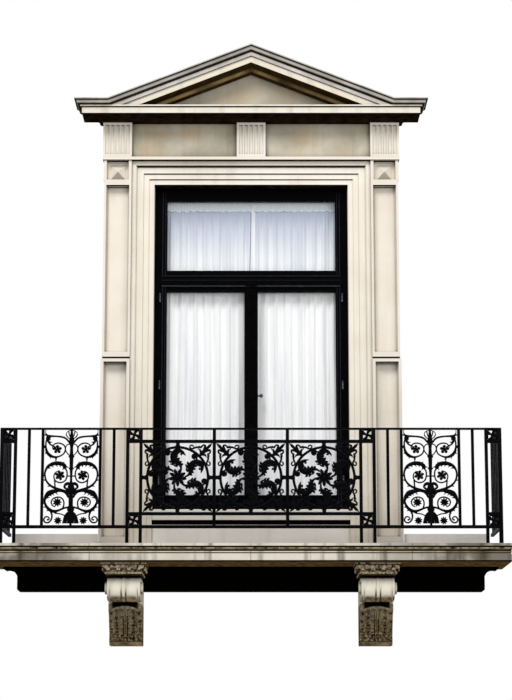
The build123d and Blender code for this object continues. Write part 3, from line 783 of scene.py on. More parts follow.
@dataclass(frozen=True)
class Stroke:
    """A bar, leaf or petal drawn along a line, in millimetres, with a changing width and distance from the wall."""

    line: Line
    widths: Widths
    depth: float = PLATE
    sides: int = 8
    steps: int = 3
    out: Widths = field(default_factory=lambda: [0.0, 0.0])
    straight: float = 1e-4

    def draw(self, centre: Point, projection: float, turn: float = 0.0, side: int = 1) -> None:
        """Draw the stroke into the mesh that is in edit mode.

        Args:
            centre: Place of the stroke's own zero, in millimetres.
            projection: How far out from the wall it lies.
            turn: Degrees by which it is turned.
            side: 1, or -1 for its mirror image.
        """
        line = flow(self.line, self.steps) if len(self.line) > 2 else self.line
        widths = spread(self.widths, len(line))
        c, s = cos(radians(turn)), sin(radians(turn))
        turned = [(side * (x * c - y * s), x * s + y * c) for x, y in line]
        outs = spread(self.out, len(line))
        places = [at(centre[0] + x, centre[1] + z, projection + out) for (x, z), out in zip(turned, outs)]
        runs = [atan2((b - a).z, (b - a).x) for a, b in zip(places, places[1:])]
        headings = [runs[0]]
        for before, after in zip(runs, runs[1:]):
            headings.append(before + swing(before, after) / 2)
        headings.append(runs[-1])
        bpy.ops.mesh.primitive_circle_add(
            vertices=self.sides, radius=widths[0] / 2 * MM, fill_type="NGON",
            location=places[0], rotation=(0, pi / 2 - headings[0], 0))
        flat = min(self.depth / widths[0], 1.0)
        bpy.ops.transform.resize(value=(1, flat, 1), center_override=places[0])
        deep = widths[0] * flat
        for index in range(1, len(places)):
            here = places[index]
            bpy.ops.mesh.extrude_region_move(TRANSFORM_OT_translate={"value": here - places[index - 1]})
            bend = swing(headings[index - 1], headings[index])
            if abs(bend) > self.straight:
                bpy.ops.transform.rotate(value=bend, orient_axis="Y", orient_type="GLOBAL", center_override=here)
            now_deep = min(self.depth, widths[index])
            wide = widths[index] / widths[index - 1]
            bpy.ops.transform.resize(value=(wide, now_deep / deep, wide), center_override=here)
            deep = now_deep


def knob(centre: Point, projection: float, radius: float, depth: float, segments: int = 10) -> None:
    """Add a rounded boss to the mesh in edit mode.

    Args:
        centre: Its middle, in millimetres.
        projection: How far out from the wall it lies.
        radius: Its radius.
        depth: Its thickness.
        segments: Faces round it.
    """
    place = at(*centre, projection)
    bpy.ops.mesh.primitive_uv_sphere_add(
        segments=segments, ring_count=6, radius=radius * MM, location=place, rotation=(pi / 2, 0, 0))
    bpy.ops.transform.resize(value=(1, depth / 2 / radius, 1), center_override=place)


def hoop(centre: Point, projection: float, radius: float, width: float, depth: float, steps: int = 40) -> None:
    """Add a closed ring to the mesh in edit mode.

    Args:
        centre: Its middle, in millimetres.
        projection: How far out from the wall it lies.
        radius: Radius to the middle of the bar.
        width: Width of the bar.
        depth: Thickness of the bar.
        steps: Divisions round it.
    """
    middle = at(*centre, projection)
    start = at(centre[0] + radius, centre[1], projection)
    bpy.ops.mesh.primitive_circle_add(vertices=8, radius=width / 2 * MM, fill_type="NOTHING", location=start)
    bpy.ops.transform.resize(value=(1, depth / width, 1), center_override=start)
    bpy.ops.mesh.spin(steps=steps, angle=2 * pi, center=middle, axis=(0, 1, 0))
    bpy.ops.mesh.select_linked()
    bpy.ops.mesh.remove_doubles(threshold=0.0002)


def round_place(radius: float, angle: float) -> Point:
    """Point at a radius and an angle in degrees."""
    return (radius * cos(radians(angle)), radius * sin(radians(angle)))


def turned_line(points: Line, angle: float, side: int = 1) -> Line:
    """Line given as radius and degrees from an angle, on one side of it or the other."""
    return [round_place(radius, angle + side * turn) for radius, turn in points]


def petals(centre: Point, projection: float, radius: float, count: int, turn: float = 0.0) -> None:
    """Add a rosette with a button to the mesh in edit mode.

    Args:
        centre: Its middle, in millimetres.
        projection: How far out from the wall it lies.
        radius: Reach of its petals.
        count: Number of petals.
        turn: Degrees by which it is turned.
    """
    fill, root, belly, button = 0.72, 0.2, 0.65, 0.3
    wide = 2 * pi * radius / count * fill
    petal = Stroke([(radius * root, 0), (radius * belly, 0), (radius, 0)], [wide * 0.35, wide, wide * 0.3],
                   depth=PLATE * 0.9, sides=6, steps=2)
    for index in range(count):
        petal.draw(centre, projection, turn + 360 / count * index)
    knob(centre, projection, radius * button, PLATE * 1.5)


@dataclass
class RingPanel:
    """Cast panel: a ring with six curling leaves round a rosette, and spear leaves in the corners."""

    radius: float = 236.0
    bar: float = 21.0
    half_width: float = 274.0
    half_height: float = 270.0
    level: float = 515.0
    arms: int = 6
    arm_turn: float = -9.0
    spacing: float = 0.5675
    ball: float = 208.0
    rosette: float = 70.0
    petal_count: int = 9
    eye: float = 27.0
    arm: Line = field(default_factory=lambda: [
        (56, -46), (80, -40), (100, -31), (122, -18), (150, -9), (182, -9), (206, -15), (212, -23), (200, -32),
        (182, -41)])
    arm_widths: Widths = field(default_factory=lambda: [15, 17, 24, 50, 54, 40, 34, 36, 24, 4])
    lobes: list[Line] = field(default_factory=lambda: [
        [(94, -22), (92, -12), (99, -2)], [(110, -8), (112, 0), (120, 9)], [(132, -3), (136, 4), (146, 8)],
        [(120, -22), (122, -31), (131, -36)], [(140, -16), (146, -24), (157, -26)],
        [(160, -12), (167, -19), (177, -20)], [(186, -14), (186, -20), (194, -25)],
        [(206, -16), (216, -19), (226, -17)], [(204, -24), (212, -29), (220, -28)],
        [(190, -28), (181, -30), (174, -29)], [(104, -33), (108, -40), (116, -43)]])
    spear: Widths = field(default_factory=lambda: [238, 256, 276, 298, 322, 348, 378])
    spear_widths: Widths = field(default_factory=lambda: [14, 30, 38, 18, 22, 24, 4])
    barbs: list[tuple[Line, Widths, dict[str, int]]] = field(default_factory=lambda: [
        ([(280, 1), (312, 3), (327, 5), (320, 7), (298, 8), (288, 11)], [17, 16, 15, 14, 13, 11],
         {"depth": 12, "steps": 2}),
        ([(300, 6), (286, 11), (270, 15), (250, 18)], [13, 16, 15, 14], {"depth": 12}),
        ([(262, 2), (276, 6), (272, 9)], [18, 20, 4], {"depth": 14, "sides": 6}),
        ([(300, 1), (324, 3), (336, 5)], [14, 12, 3], {"depth": 12, "sides": 6}),
        ([(302, 10), (287, 11), (270, 9)], [3, 17, 3], {"depth": 13, "sides": 6, "steps": 2}),
        ([(252, 18), (250, 22), (262, 24), (274, 22), (274, 19), (266, 18)], [13, 12, 12, 12, 11, 9],
         {"depth": 12, "steps": 2})])

    @property
    def middle(self) -> Point:
        """Middle of the ring."""
        return (0.0, self.level)

    def cast(self, line: Line, widths: Widths, angle: float, side: int = 1, **shape: object) -> None:
        """Draw a stroke whose line is given as radius and degrees.

        Args:
            line: Radius and degrees of its points.
            widths: Widths along it.
            angle: Degrees that its own are counted from.
            side: 1, or -1 to count them the other way round.
            shape: The stroke's other sizes.
        """
        Stroke(turned_line(line, angle, side), widths, **shape).draw(self.middle, RAIL_LINE)

    def draw_arm(self, angle: float) -> None:
        """Draw one curling leaf with its jagged lobes and its curled ball.

        Args:
            angle: Place of its ball, in degrees.
        """
        self.cast(self.arm, self.arm_widths, angle, depth=22, steps=2)
        for lobe in self.lobes:
            self.cast(lobe, [25, 23, 4], angle, depth=14, sides=6, steps=2, out=[0, 5, 3])
        self.cast([(178, -8), (198, -9), (214, -4), (230, 2)], [16, 15, 16, 18], angle, steps=2)
        curl = [round_place(15 + 6 * cos(radians(turn / 2.4)), angle + turn) for turn in range(-60, 280, 34)]
        x, z = round_place(self.ball, angle)
        Stroke(curl, [15, 16, 15, 10], depth=18, steps=1).draw((x, self.level + z), RAIL_LINE)
        knob((x, self.level + z), RAIL_LINE, 15, 28)

    def draw_corner(self, angle: float) -> None:
        """Draw the spear leaf, its barbs and two budded tendrils of one corner.

        Args:
            angle: Way to the corner, in degrees.
        """
        self.cast([(radius, 0) for radius in self.spear], self.spear_widths, angle, depth=18, steps=2)
        for side in (-1, 1):
            for line, widths, shape in self.barbs:
                self.cast(line, widths, angle, side, **shape)

    def build(self, iron: Material) -> None:
        """Model the middle panel and copy it to both sides.

        Args:
            iron: Finish of the casting.
        """
        piece = open_piece("ring_casting_middle")
        hoop(self.middle, RAIL_LINE, self.radius, self.bar, 18, 56)
        petals(self.middle, RAIL_LINE, self.rosette, self.petal_count, self.arm_turn)
        hoop(self.middle, RAIL_LINE, self.eye, 9, 20, 20)
        for index in range(self.arms):
            self.draw_arm(self.arm_turn + 360 / self.arms * index)
        for index in range(4):
            self.draw_corner(45 + 90 * index)
        for index in range(4):
            reach = self.half_width if index % 2 == 0 else self.half_height
            tie = [(228, 0), (240, 0), (250, 0), (258, 0), (reach - 0.5, 0)]
            self.cast(tie, [34, 40, 38, 28, 34], 90 * index, depth=24, steps=2)
        close_piece(piece, iron)
        for name, shift in (("left", -self.spacing), ("right", self.spacing)):
            copy = copy_piece(piece, f"ring_casting_{name}", shift)
            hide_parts(f"ring_panel_{name}")
        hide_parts("ring_panel_centre")


@dataclass
class ScrollPanel:
    """Cast panel of the side bays: a stem with three pairs of volutes, buds, a tulip and a shell."""

    middle: float = 1392.5
    foot: float = 144.0
    flowers: list[tuple[float, float, float, int]] = field(default_factory=lambda: [
        (105, 178, 35, 9), (88, 388, 40, 6), (110, 591, 35, 5), (98, 36, 31, 9)])
    curves: dict[str, tuple[Line, Widths]] = field(default_factory=lambda: {
        "crown arm": ([(14, 640), (40, 671), (68, 686), (118, 693), (168, 695), (194, 702), (205, 726)],
                      [16, 15, 16, 14, 18, 18, 4]),
        "corner leaf": ([(164, 696), (186, 680), (181, 654), (166, 630), (142, 617), (122, 606)],
                        [18, 34, 20, 14, 12, 10]),
        "upper volute": ([(186, 690), (198, 656), (200, 612), (192, 573), (168, 544), (129, 530), (92, 537), (60, 558),
                          (48, 595), (63, 626), (100, 640), (134, 632), (148, 608), (140, 586)],
                         [16, 12, 14, 23, 26, 18, 13, 12, 12, 12, 12, 11, 10, 8]),
        "middle volute": ([(14, 240), (42, 262), (80, 274), (127, 290), (165, 312), (192, 345), (203, 384), (201, 420),
                           (183, 455), (149, 476), (113, 482), (78, 478), (50, 462), (42, 436)],
                          [18, 22, 22, 20, 18, 15, 14, 15, 22, 29, 32, 33, 28, 7]),
        "middle ring": ([(58, 452), (36, 425), (32, 388), (42, 352), (66, 334), (94, 332), (122, 346), (134, 374),
                         (128, 402), (108, 418), (88, 414)], [14, 12, 12, 12, 12, 12, 12, 11, 10, 9, 8]),
        "lower volute": ([(20, 140), (56, 131), (91, 116), (127, 108), (160, 118), (188, 146), (202, 183), (195, 219),
                          (170, 247), (136, 262), (94, 269), (58, 262), (36, 245), (16, 214)],
                         [15, 16, 18, 24, 27, 22, 16, 28, 44, 36, 24, 19, 18, 18]),
        "lower ring": ([(60, 134), (53, 160), (56, 190), (74, 212), (102, 218), (134, 208), (151, 182), (142, 154),
                        (120, 142)], [13, 12, 12, 12, 12, 12, 12, 11, 8]),
        "stem leaf": ([(8, 632), (34, 627), (48, 600), (40, 570), (14, 541)], [9, 9, 9, 9, 9]),
        "drooping leaf": ([(4, 312), (22, 324), (42, 316), (52, 296), (44, 280)], [24, 26, 24, 16, 5]),
        "tulip cup": ([(4, 258), (22, 272), (38, 284), (40, 296)], [26, 28, 16, 6]),
        "foot curl": ([(156, 112), (144, 80), (148, 46), (168, 22), (194, 22), (206, 42), (194, 64), (174, 64),
                       (164, 50), (174, 40)], [16, 14, 14, 13, 13, 12, 12, 11, 11, 10]),
        "foot link": ([(40, 72), (76, 87), (118, 94), (146, 110)], [10, 10, 10, 12]),
        "stay": ([(128, 350), (125, 318), (124, 288)], [13, 12, 14]),
        "upper stay": ([(124, 528), (118, 484)], [9, 9]),
        "upper tie": ([(196, 616), (212, 616)], [12, 12]),
        "middle tie": ([(200, 386), (212, 386)], [12, 12]),
        "lower tie": ([(200, 184), (212, 184)], [12, 12]),
        "inner tie": ([(6, 382), (34, 382)], [11, 11]),
        "corner thread": ([(203, 712), (203, 745)], [6, 6]),
        "shell rim": ([(44, 702), (40, 722), (22, 736), (0, 740)], [7, 7, 7, 7]),
    })
    tips: list[tuple[str, float, float, int, float]] = field(default_factory=lambda: [
        ("middle volute", 0.6, 0.96, 6, 29), ("lower volute", 0.2, 0.44, 5, -23), ("lower volute", 0.52, 0.72, 4, 33),
        ("upper volute", 0.16, 0.4, 4, 21), ("corner leaf", 0.08, 0.3, 2, 26), ("corner leaf", 0.05, 0.45, 3, -24),
        ("middle volute", 0.3, 0.4, 2, -21), ("crown arm", 0.7, 0.86, 2, -20), ("middle volute", 0.86, 0.95, 2, -24)])
    stem: list[tuple[Widths, Widths]] = field(default_factory=lambda: [
        ([0, 90, 146, 214, 300, 382, 450, 520, 600, 660, 745], [18, 30, 34, 36, 22, 18, 28, 32, 24, 38, 14]),
        ([104, 112, 130, 148, 156], [30, 54, 58, 40, 32]),
        ([252, 276, 304, 322], [40, 60, 50, 24]),
        ([636, 664, 696], [30, 40, 22]),
        ([526, 530, 538, 542], [36, 46, 46, 34]),
        ([434, 438, 446, 450], [30, 42, 40, 28])])
    fan: tuple[float, ...] = (-56.0, -38.0, -19.0, 0.0, 19.0, 38.0, 56.0)
    shell: Line = field(default_factory=lambda: [(0, 738), (24, 730), (43, 704)])
    shell_foot: float = 664.0
    fan_levels: Size = (104.0, 72.0, 14.0)
    bud: Point = (176.0, 42.0)

    def draw_tips(self, tips: tuple[str, float, float, int, float], side: int) -> None:
        """Draw leaf tips along one edge of a curve.

        Args:
            tips: Curve, first and last share of the way along it, number, and how far they stand off its
                middle, less than zero on its right.
            side: 1 on the right of the stem, -1 on its left.
        """
        name, first, last, count, reach = tips
        line = flow(self.curves[name][0], 8)
        for share in spread([first, last], count):
            index = min(int(share * (len(line) - 1)), len(line) - 2)
            (x, z), (next_x, next_z) = line[index], line[index + 1]
            step = Vector((next_x - x, next_z - z)).normalized()
            tip = (x - step.y * reach + step.x * abs(reach) * 0.55, z + step.x * reach + step.y * abs(reach) * 0.55)
            Stroke([(x, z), tip], [20, 4], depth=13, sides=6).draw((self.middle, self.foot), RAIL_LINE, side=side)

    def draw_half(self, side: int) -> None:
        """Draw all that stands on one side of the stem.

        Args:
            side: 1 on the right, -1 on the left.
        """
        foot = (self.middle, self.foot)
        for line, widths in self.curves.values():
            Stroke(line, widths, depth=15).draw(foot, RAIL_LINE, side=side)
        for tips in self.tips:
            self.draw_tips(tips, side)
        for x, z, radius, count in self.flowers:
            petals((self.middle + side * x, self.foot + z), RAIL_LINE, radius, count, 18)
        knob((self.middle + side * self.bud[0], self.foot + self.bud[1]), RAIL_LINE, 8, 18)

    def draw_middle(self) -> None:
        """Draw the stem with its cups and collars, the fan at its foot and the open shell at its top."""
        foot = (self.middle, self.foot)
        for levels, widths in self.stem:
            Stroke([(0, level) for level in levels], widths, depth=22, steps=2).draw(foot, RAIL_LINE)
        for x in self.fan:
            rib = list(zip((x * 0.3, x * 0.75, x), self.fan_levels))
            Stroke(rib, [12, 18, 20], depth=20, sides=6).draw(foot, RAIL_LINE)
        for side in (-1, 1):
            for x, z in self.shell:
                flute = [(0, self.shell_foot), (x * 0.7, (z + self.shell_foot) / 2), (x, z)]
                Stroke(flute, [10, 9, 12], depth=16, sides=6).draw(foot, RAIL_LINE, side=side)

    def build(self, iron: Material) -> None:
        """Model the right-hand panel and mirror it to the left.

        Args:
            iron: Finish of the casting.
        """
        piece = open_piece("scroll_casting_right")
        self.draw_middle()
        for side in (-1, 1):
            self.draw_half(side)
        close_piece(piece, iron)
        copy = copy_piece(piece, "scroll_casting_left", mirror=True)
        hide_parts("scroll_panel_right")
        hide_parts("scroll_panel_left")


@dataclass
class SquareCastings:
    """Small pinwheel castings between the paired posts."""

    places: list[Point] = field(default_factory=lambda: [(905, 80), (1878.5, 77)])
    levels: list[Point] = field(default_factory=lambda: [(144, 221), (809, 889)])
    frame_bar: float = 8.0
    curl: float = 0.22

    def draw(self, centre: Point, width: float, height: float) -> None:
        """Draw one casting between its posts.

        Args:
            centre: Its middle.
            width: Clear width between the posts.
            height: Clear height between the rails.
        """
        half, rise = (width - self.frame_bar) / 2, (height - self.frame_bar) / 2
        for a, b in (((-half, -rise), (half, -rise)), ((-half, rise), (half, rise)),
                     ((-half, -rise), (-half, rise)), ((half, -rise), (half, rise))):
            Stroke([a, b], [self.frame_bar, self.frame_bar], depth=14, sides=4).draw(centre, RAIL_LINE)
        for index in range(4):
            x, z = (half if index in (0, 3) else -half), (rise if index < 2 else -rise)
            leaf = [(0, 0), (x * 0.5 - z * self.curl, z * 0.5 + x * self.curl), (x, z)]
            Stroke(leaf, [12, 29, 9], depth=14, sides=6).draw(centre, RAIL_LINE)
        knob(centre, RAIL_LINE, 15, 24)

    def build(self, iron: Material) -> None:
        """Model the castings of all four pairs of posts.

        Args:
            iron: Finish of the castings.
        """
        piece = open_piece("pinwheel_castings")
        for offset, width in self.places:
            for low, high in self.levels:
                for side in (-1, 1):
                    self.draw((side * offset, (low + high) / 2), width, high - low)
        close_piece(piece, iron)
        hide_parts("square_castings")


def raised(x: float, rings: list[Step]) -> None:
    """Raise or sink a rectangle step by step from the wall into the mesh in edit mode.

    Args:
        x: Its middle across.
        rings: Width, height, middle level and projection of each step, the first one on the wall.
    """
    wide, tall, level, out = rings[0]
    place = at(x, level, out)
    bpy.ops.mesh.primitive_plane_add(size=MM, location=place, rotation=(pi / 2, 0, 0))
    bpy.ops.transform.resize(value=(wide, 1, tall), center_override=place)
    for next_wide, next_tall, level, out in rings[1:]:
        there = at(x, level, out)
        bpy.ops.mesh.extrude_region_move(TRANSFORM_OT_translate={"value": there - place})
        bpy.ops.transform.resize(value=(next_wide / wide, 1, next_tall / tall), center_override=there)
        wide, tall, place = next_wide, next_tall, there


@dataclass
class Pilasters:
    """Pilasters beside the window: lower and upper lengths with moulded sunk panels, and pyramid bosses."""

    lower: list[Step] = field(default_factory=lambda: [
        (234, 1485, 812.5, 0), (234, 1485, 812.5, 106), (187, 1418, 821, 106), (187, 1418, 821, 54),
        (173, 1404, 821, 54), (173, 1404, 821, 28)])
    upper: list[Step] = field(default_factory=lambda: [
        (225, 1475, 2308.5, 0), (225, 1475, 2308.5, 100), (189, 1394, 2310, 100), (189, 1394, 2310, 56),
        (175, 1380, 2310, 56), (175, 1380, 2310, 32)])
    boss: list[Step] = field(default_factory=lambda: [
        (229, 173, 3132.5, 0), (229, 173, 3132.5, 100), (181, 162, 3134, 100), (181, 162, 3134, 52),
        (166, 147, 3134, 52), (154, 135, 3131, 44), (124, 124, 3126, 44), (8, 8, 3122, 92)])
    plinth: list[Step] = field(default_factory=lambda: [
        (245, 70, 35, 0), (245, 70, 35, 112)])
    gap: list[Step] = field(default_factory=lambda: [
        (219, 14, 1565, 0), (219, 14, 1565, 46)])
    inner: float = 983.0

    def stand(self, rings: list[Step], side: int) -> None:
        """Raise one length with its inner edge at the architrave, on one side of the window."""
        raised(side * (self.inner + rings[0][0] / 2), rings)

    def build(self, stone: Material) -> None:
        """Cut both pilasters and the boss blocks over them.

        Args:
            stone: Finish of the stone.
        """
        for side, name in ((1, "right"), (-1, "left")):
            piece = open_piece(f"pilaster_{name}")
            for rings in (self.plinth, self.lower, self.gap, self.upper):
                self.stand(rings, side)
            close_piece(piece, stone, 20)
            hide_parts(f"pilaster_base_{name}", f"pilaster_shaft_{name}")
        piece = open_piece("boss_blocks")
        for side in (-1, 1):
            self.stand(self.boss, side)
        close_piece(piece, stone, 20)
        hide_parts("pilaster_bosses")


@dataclass
class RailPosts:
    """Square posts of the railing; the two between the rings end on the bottom rail."""

    top: float = 889.0
    ease: float = 2.5
    places: list[Size] = field(default_factory=lambda: [
        (284, 26, 120.5), (853, 25, 0), (957, 25, 0), (1828, 25, 0), (1932, 31, 0)])

    def build(self, iron: Material) -> None:
        """Forge all ten posts with lightly eased edges.

        Args:
            iron: Finish of the posts.
        """
        piece = open_piece("rail_posts")
        for offset, width, foot in self.places:
            for side in (-1, 1):
                place = at(side * offset, (foot + self.top) / 2, RAIL_LINE)
                bpy.ops.mesh.primitive_cube_add(size=MM, location=place)
                bpy.ops.transform.resize(value=(width, width, self.top - foot), center_override=place)
        bpy.ops.mesh.select_all(action="SELECT")
        bpy.ops.mesh.bevel(offset=self.ease * MM, segments=2)
        close_piece(piece, iron, 35)
        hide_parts("railing_posts")


RIGHT = Vector((1, 0, 0))
UP = Vector((0, 0, 1))


def lathe(profile: Line, centre: Vector, axis: Vector, start: Vector, steps: int) -> None:
    """Turn a profile round an axis into the mesh in edit mode.

    Args:
        profile: Distance along the axis and radius, in millimetres.
        centre: Place on the axis that the profile starts from.
        axis: Direction of the axis.
        start: Direction in which the profile is drawn.
        steps: Divisions round it.
    """
    places = [centre + axis * (along * MM) + start * (radius * MM) for along, radius in profile]
    bpy.ops.mesh.primitive_plane_add(size=0.001, location=places[0])
    bpy.ops.mesh.merge(type="CENTER")
    for before, after in zip(places, places[1:]):
        bpy.ops.mesh.extrude_region_move(TRANSFORM_OT_translate={"value": after - before})
    bpy.ops.mesh.select_linked()
    bpy.ops.mesh.spin(steps=steps, angle=2 * pi, center=centre, axis=axis)
    bpy.ops.mesh.select_linked()
    bpy.ops.mesh.remove_doubles(threshold=0.0001)


@dataclass
class ConsoleCarving:
    """Carving on one console: cushioned roll, drooping leaf, edge fillets, and eggs and beads on the cap."""

    offset: float = 982.0
    half: float = 128.5
    roll: Point = (500.0, -343.0)
    roll_profile: Line = field(default_factory=lambda: [
        (-128, 60), (-127, 82), (-114, 86), (-110, 80), (-107, 76), (-103, 82), (-92, 88), (-62, 92), (-36, 90),
        (-24, 84), (-20, 66), (-13, 66), (-11, 86), (0, 92), (11, 86), (13, 66), (20, 66), (24, 84), (36, 90), (62, 92),
        (92, 88), (103, 82), (107, 76), (110, 80), (114, 86), (127, 82), (128, 60)])
    stem: Line = field(default_factory=lambda: [(9, -500), (8, -560), (7, -620), (6, -688)])
    lip: Line = field(default_factory=lambda: [(8, -470), (34, -461), (62, -465), (90, -478), (112, -496)])
    teeth: int = 8
    teeth_from: float = -488.0
    teeth_pitch: float = 23.0
    teeth_limit: float = 120.0
    fillet: float = 122.0
    hem: float = -678.0
    buds: tuple[float, ...] = (16.0, 47.0, 78.0, 109.0)
    ring_places: Size = (-86.0, 0.0, 86.0)
    ring_level: float = -166.0
    ring_line: float = 612.0
    cap_front: float = 580.0
    cap_depth: float = 420.0
    rows: list[tuple[float, float, float, Size]] = field(default_factory=lambda: [
        (-168, 26, 43, (19, 13, 26)), (-188, 30, 86, (15, 12, 18)), (-216, 7, 28, (13, 11, 14))])
    front: Line = field(default_factory=lambda: [
        (-425, 367), (-470, 356), (-507, 332), (-560, 291), (-600, 264), (-650, 236), (-690, 220)])
    eyes: Line = field(default_factory=lambda: [
        (24, -486), (64, -492), (110, -512), (66, -546), (112, -572), (64, -600), (110, -630), (64, -652)])
    ribs: list[tuple[Line, Widths, float]] = field(default_factory=lambda: [
        ([(36, -482), (41, -520), (43, -570), (40, -625), (34, -670)], [34, 40, 42, 38, 30], 4),
        ([(90, -496), (94, -530), (95, -580), (92, -635), (86, -670)], [32, 38, 38, 36, 28], 2)])

    def face(self, z: float) -> float:
        """How far out the console's lower face stands at a height."""
        for (high, far), (low, near) in zip(self.front, self.front[1:]):
            if z >= low:
                return near + (far - near) * (z - low) / (high - low)
        return self.front[-1][1]

    def leaf(self, line: Line, widths: Widths, proud: float, side: int = 1, depth: float = 22) -> None:
        """Draw one lobe that follows the console's lower face.

        Args:
            line: Points across and up.
            widths: Widths along it.
            proud: How far its middle stands off the face.
            side: 1, or -1 for its mirror image.
            depth: Its thickness.
        """
        outs = [self.face(z) + proud for _, z in line]
        Stroke(line, widths, depth=depth, sides=6, steps=2, out=outs).draw((self.offset, 0), 0, side=side)

    def draw_leaf(self) -> None:
        """Draw the drooping leaf: rolled lip, split stem, ribbed lobes with jagged edges, and drilled eyes."""
        for side in (-1, 1):
            self.leaf(self.stem, [11, 12, 12, 10], 10, side, 20)
            self.leaf(self.lip, [24, 32, 34, 28, 16], 9, side)
            for line, widths, proud in self.ribs:
                self.leaf(line, widths, proud, side)
                for index in range(self.teeth):
                    x, z = line[2][0] - abs(index - 3) * 1.5, self.teeth_from - self.teeth_pitch * index
                    for way in (-1, 1):
                        tip = (min(x + way * 26, self.teeth_limit), z - 19)
                        self.leaf([(x + way * 8, z), tip], [19, 5], proud + 5, side, 15)
            for x, z in self.eyes:
                hoop((self.offset + side * x, z), self.face(z) + 12, 12, 7, 14, 12)
            self.leaf([(self.fillet, z) for z, _ in self.front], [13, 13], 2, side, 13)
            for x in self.buds:
                knob((self.offset + side * x, self.hem), self.face(self.hem) + 4, 15, 18, 8)

    def egg(self, place: Vector, size: Size) -> None:
        """Add one rounded bead to the mesh in edit mode.

        Args:
            place: Its middle.
            size: Half sizes along X, Y and Z, in millimetres.
        """
        bpy.ops.mesh.primitive_ico_sphere_add(subdivisions=2, radius=MM, location=place)
        bpy.ops.transform.resize(value=size, center_override=place)

    def draw_row(self, level: float, proud: float, pitch: float, size: Size) -> None:
        """Draw a row of beads along the front and both sides of the cap.

        Args:
            level: Height of the row.
            proud: How far it stands off the cap's neck.
            pitch: Distance between beads.
            size: Half sizes of a bead on the front, in millimetres.
        """
        reach = self.half + proud
        count = round(2 * reach / pitch)
        for index in range(count):
            x = self.offset - reach + (index + 0.5) * 2 * reach / count
            self.egg(at(x, level, self.cap_front + proud), size)
        deep = (size[1], size[0], size[2])
        for index in range(int(self.cap_depth / pitch)):
            for side in (-1, 1):
                back = self.cap_front + proud - (index + 0.7) * pitch
                self.egg(at(self.offset + side * reach, level, back), deep)

    def build(self, stone: Material, cap: Material) -> None:
        """Carve the right console and copy the carving to the left.

        Args:
            stone: Finish of the console.
            cap: Finish of its cap.
        """
        carving = open_piece("console_carving_right")
        lathe(self.roll_profile, at(self.offset, self.roll[1], self.roll[0]), RIGHT, UP, 40)
        self.draw_leaf()
        close_piece(carving, stone, 50)
        rows = open_piece("cap_carving_right")
        for row in self.rows:
            self.draw_row(*row)
        for x in self.ring_places:
            hoop((self.offset + x, self.ring_level), self.ring_line, 13, 10, 16, 14)
        close_piece(rows, cap, 60)
        for piece in (carving, rows):
            copy_piece(piece, piece.name.replace("right", "left"), mirror=True)


@dataclass
class DoorFittings:
    """Turned knob on the cover strip, hinges with finials, and the ring boss high on the strip."""

    knob_place: Size = (54.0, 1283.0, -98.0)
    hinge_line: float = -92.0
    bead_line: float = -84.0
    boss_line: float = -74.0
    level_beads: list[Point] = field(default_factory=lambda: [(2281, 6), (2246, 4), (2197, 17)])
    upright_beads: list[Point] = field(default_factory=lambda: [(729, 6), (707, 4)])
    lights: list[Point] = field(default_factory=lambda: [(372, 2184), (2290, 2990)])
    bead_half: float = 736.0
    knob_profile: Line = field(default_factory=lambda: [
        (0, 0), (0, 12), (4, 12), (6, 7), (12, 6), (16, 8), (20, 13), (27, 17), (34, 14.5), (40, 9), (43.5, 0)])
    hinge_profile: Line = field(default_factory=lambda: [
        (-41, 0), (-39, 4), (-35.5, 3), (-35, 8), (-12, 8), (-11, 7), (-10, 8), (10, 8), (11, 7), (12, 8), (35, 8),
        (35.5, 3), (39, 4), (41, 0)])
    hinge_levels: tuple[float, ...] = (590.0, 1371.0, 2100.0)
    hinge_side: float = 749.0
    boss_level: float = 2140.0

    def build(self, steel: Material, paint: Material, worn: Material) -> None:
        """Turn the knob, the hinges and the ring boss, and run the beads round the panes in grey paint that is a
        painted highlight.

        Args:
            steel: Finish of knob and hinges.
            paint: Finish of the boss.
            worn: Finish of the beads, grey paint that is a painted highlight along the panes' edges.
        """
        piece = open_piece("knob_and_hinges")
        x, z, projection = self.knob_place
        lathe(self.knob_profile, at(x, z, projection), RIGHT, UP, 20)
        for level in self.hinge_levels:
            for side in (-1, 1):
                lathe(self.hinge_profile, at(side * self.hinge_side, level, self.hinge_line), UP, RIGHT, 12)
        close_piece(piece, steel, 50)
        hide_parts("door_fittings")
        beads = open_piece("window_beads")
        for level, width in self.level_beads:
            line = [(-self.bead_half, level), (self.bead_half, level)]
            Stroke(line, [width, width], depth=8, sides=6).draw((0, 0), self.bead_line)
        for x, width in self.upright_beads:
            for side in (-1, 1):
                for low, high in self.lights:
                    line = [(side * x, low), (side * x, high)]
                    Stroke(line, [width, width], depth=6, sides=6).draw((0, 0), self.bead_line)
        close_piece(beads, worn)
        boss = open_piece("strip_boss")
        hoop((0, self.boss_level), self.boss_line, 20, 9, 9, 24)
        knob((0, self.boss_level), self.boss_line, 8, 14)
        close_piece(boss, paint)


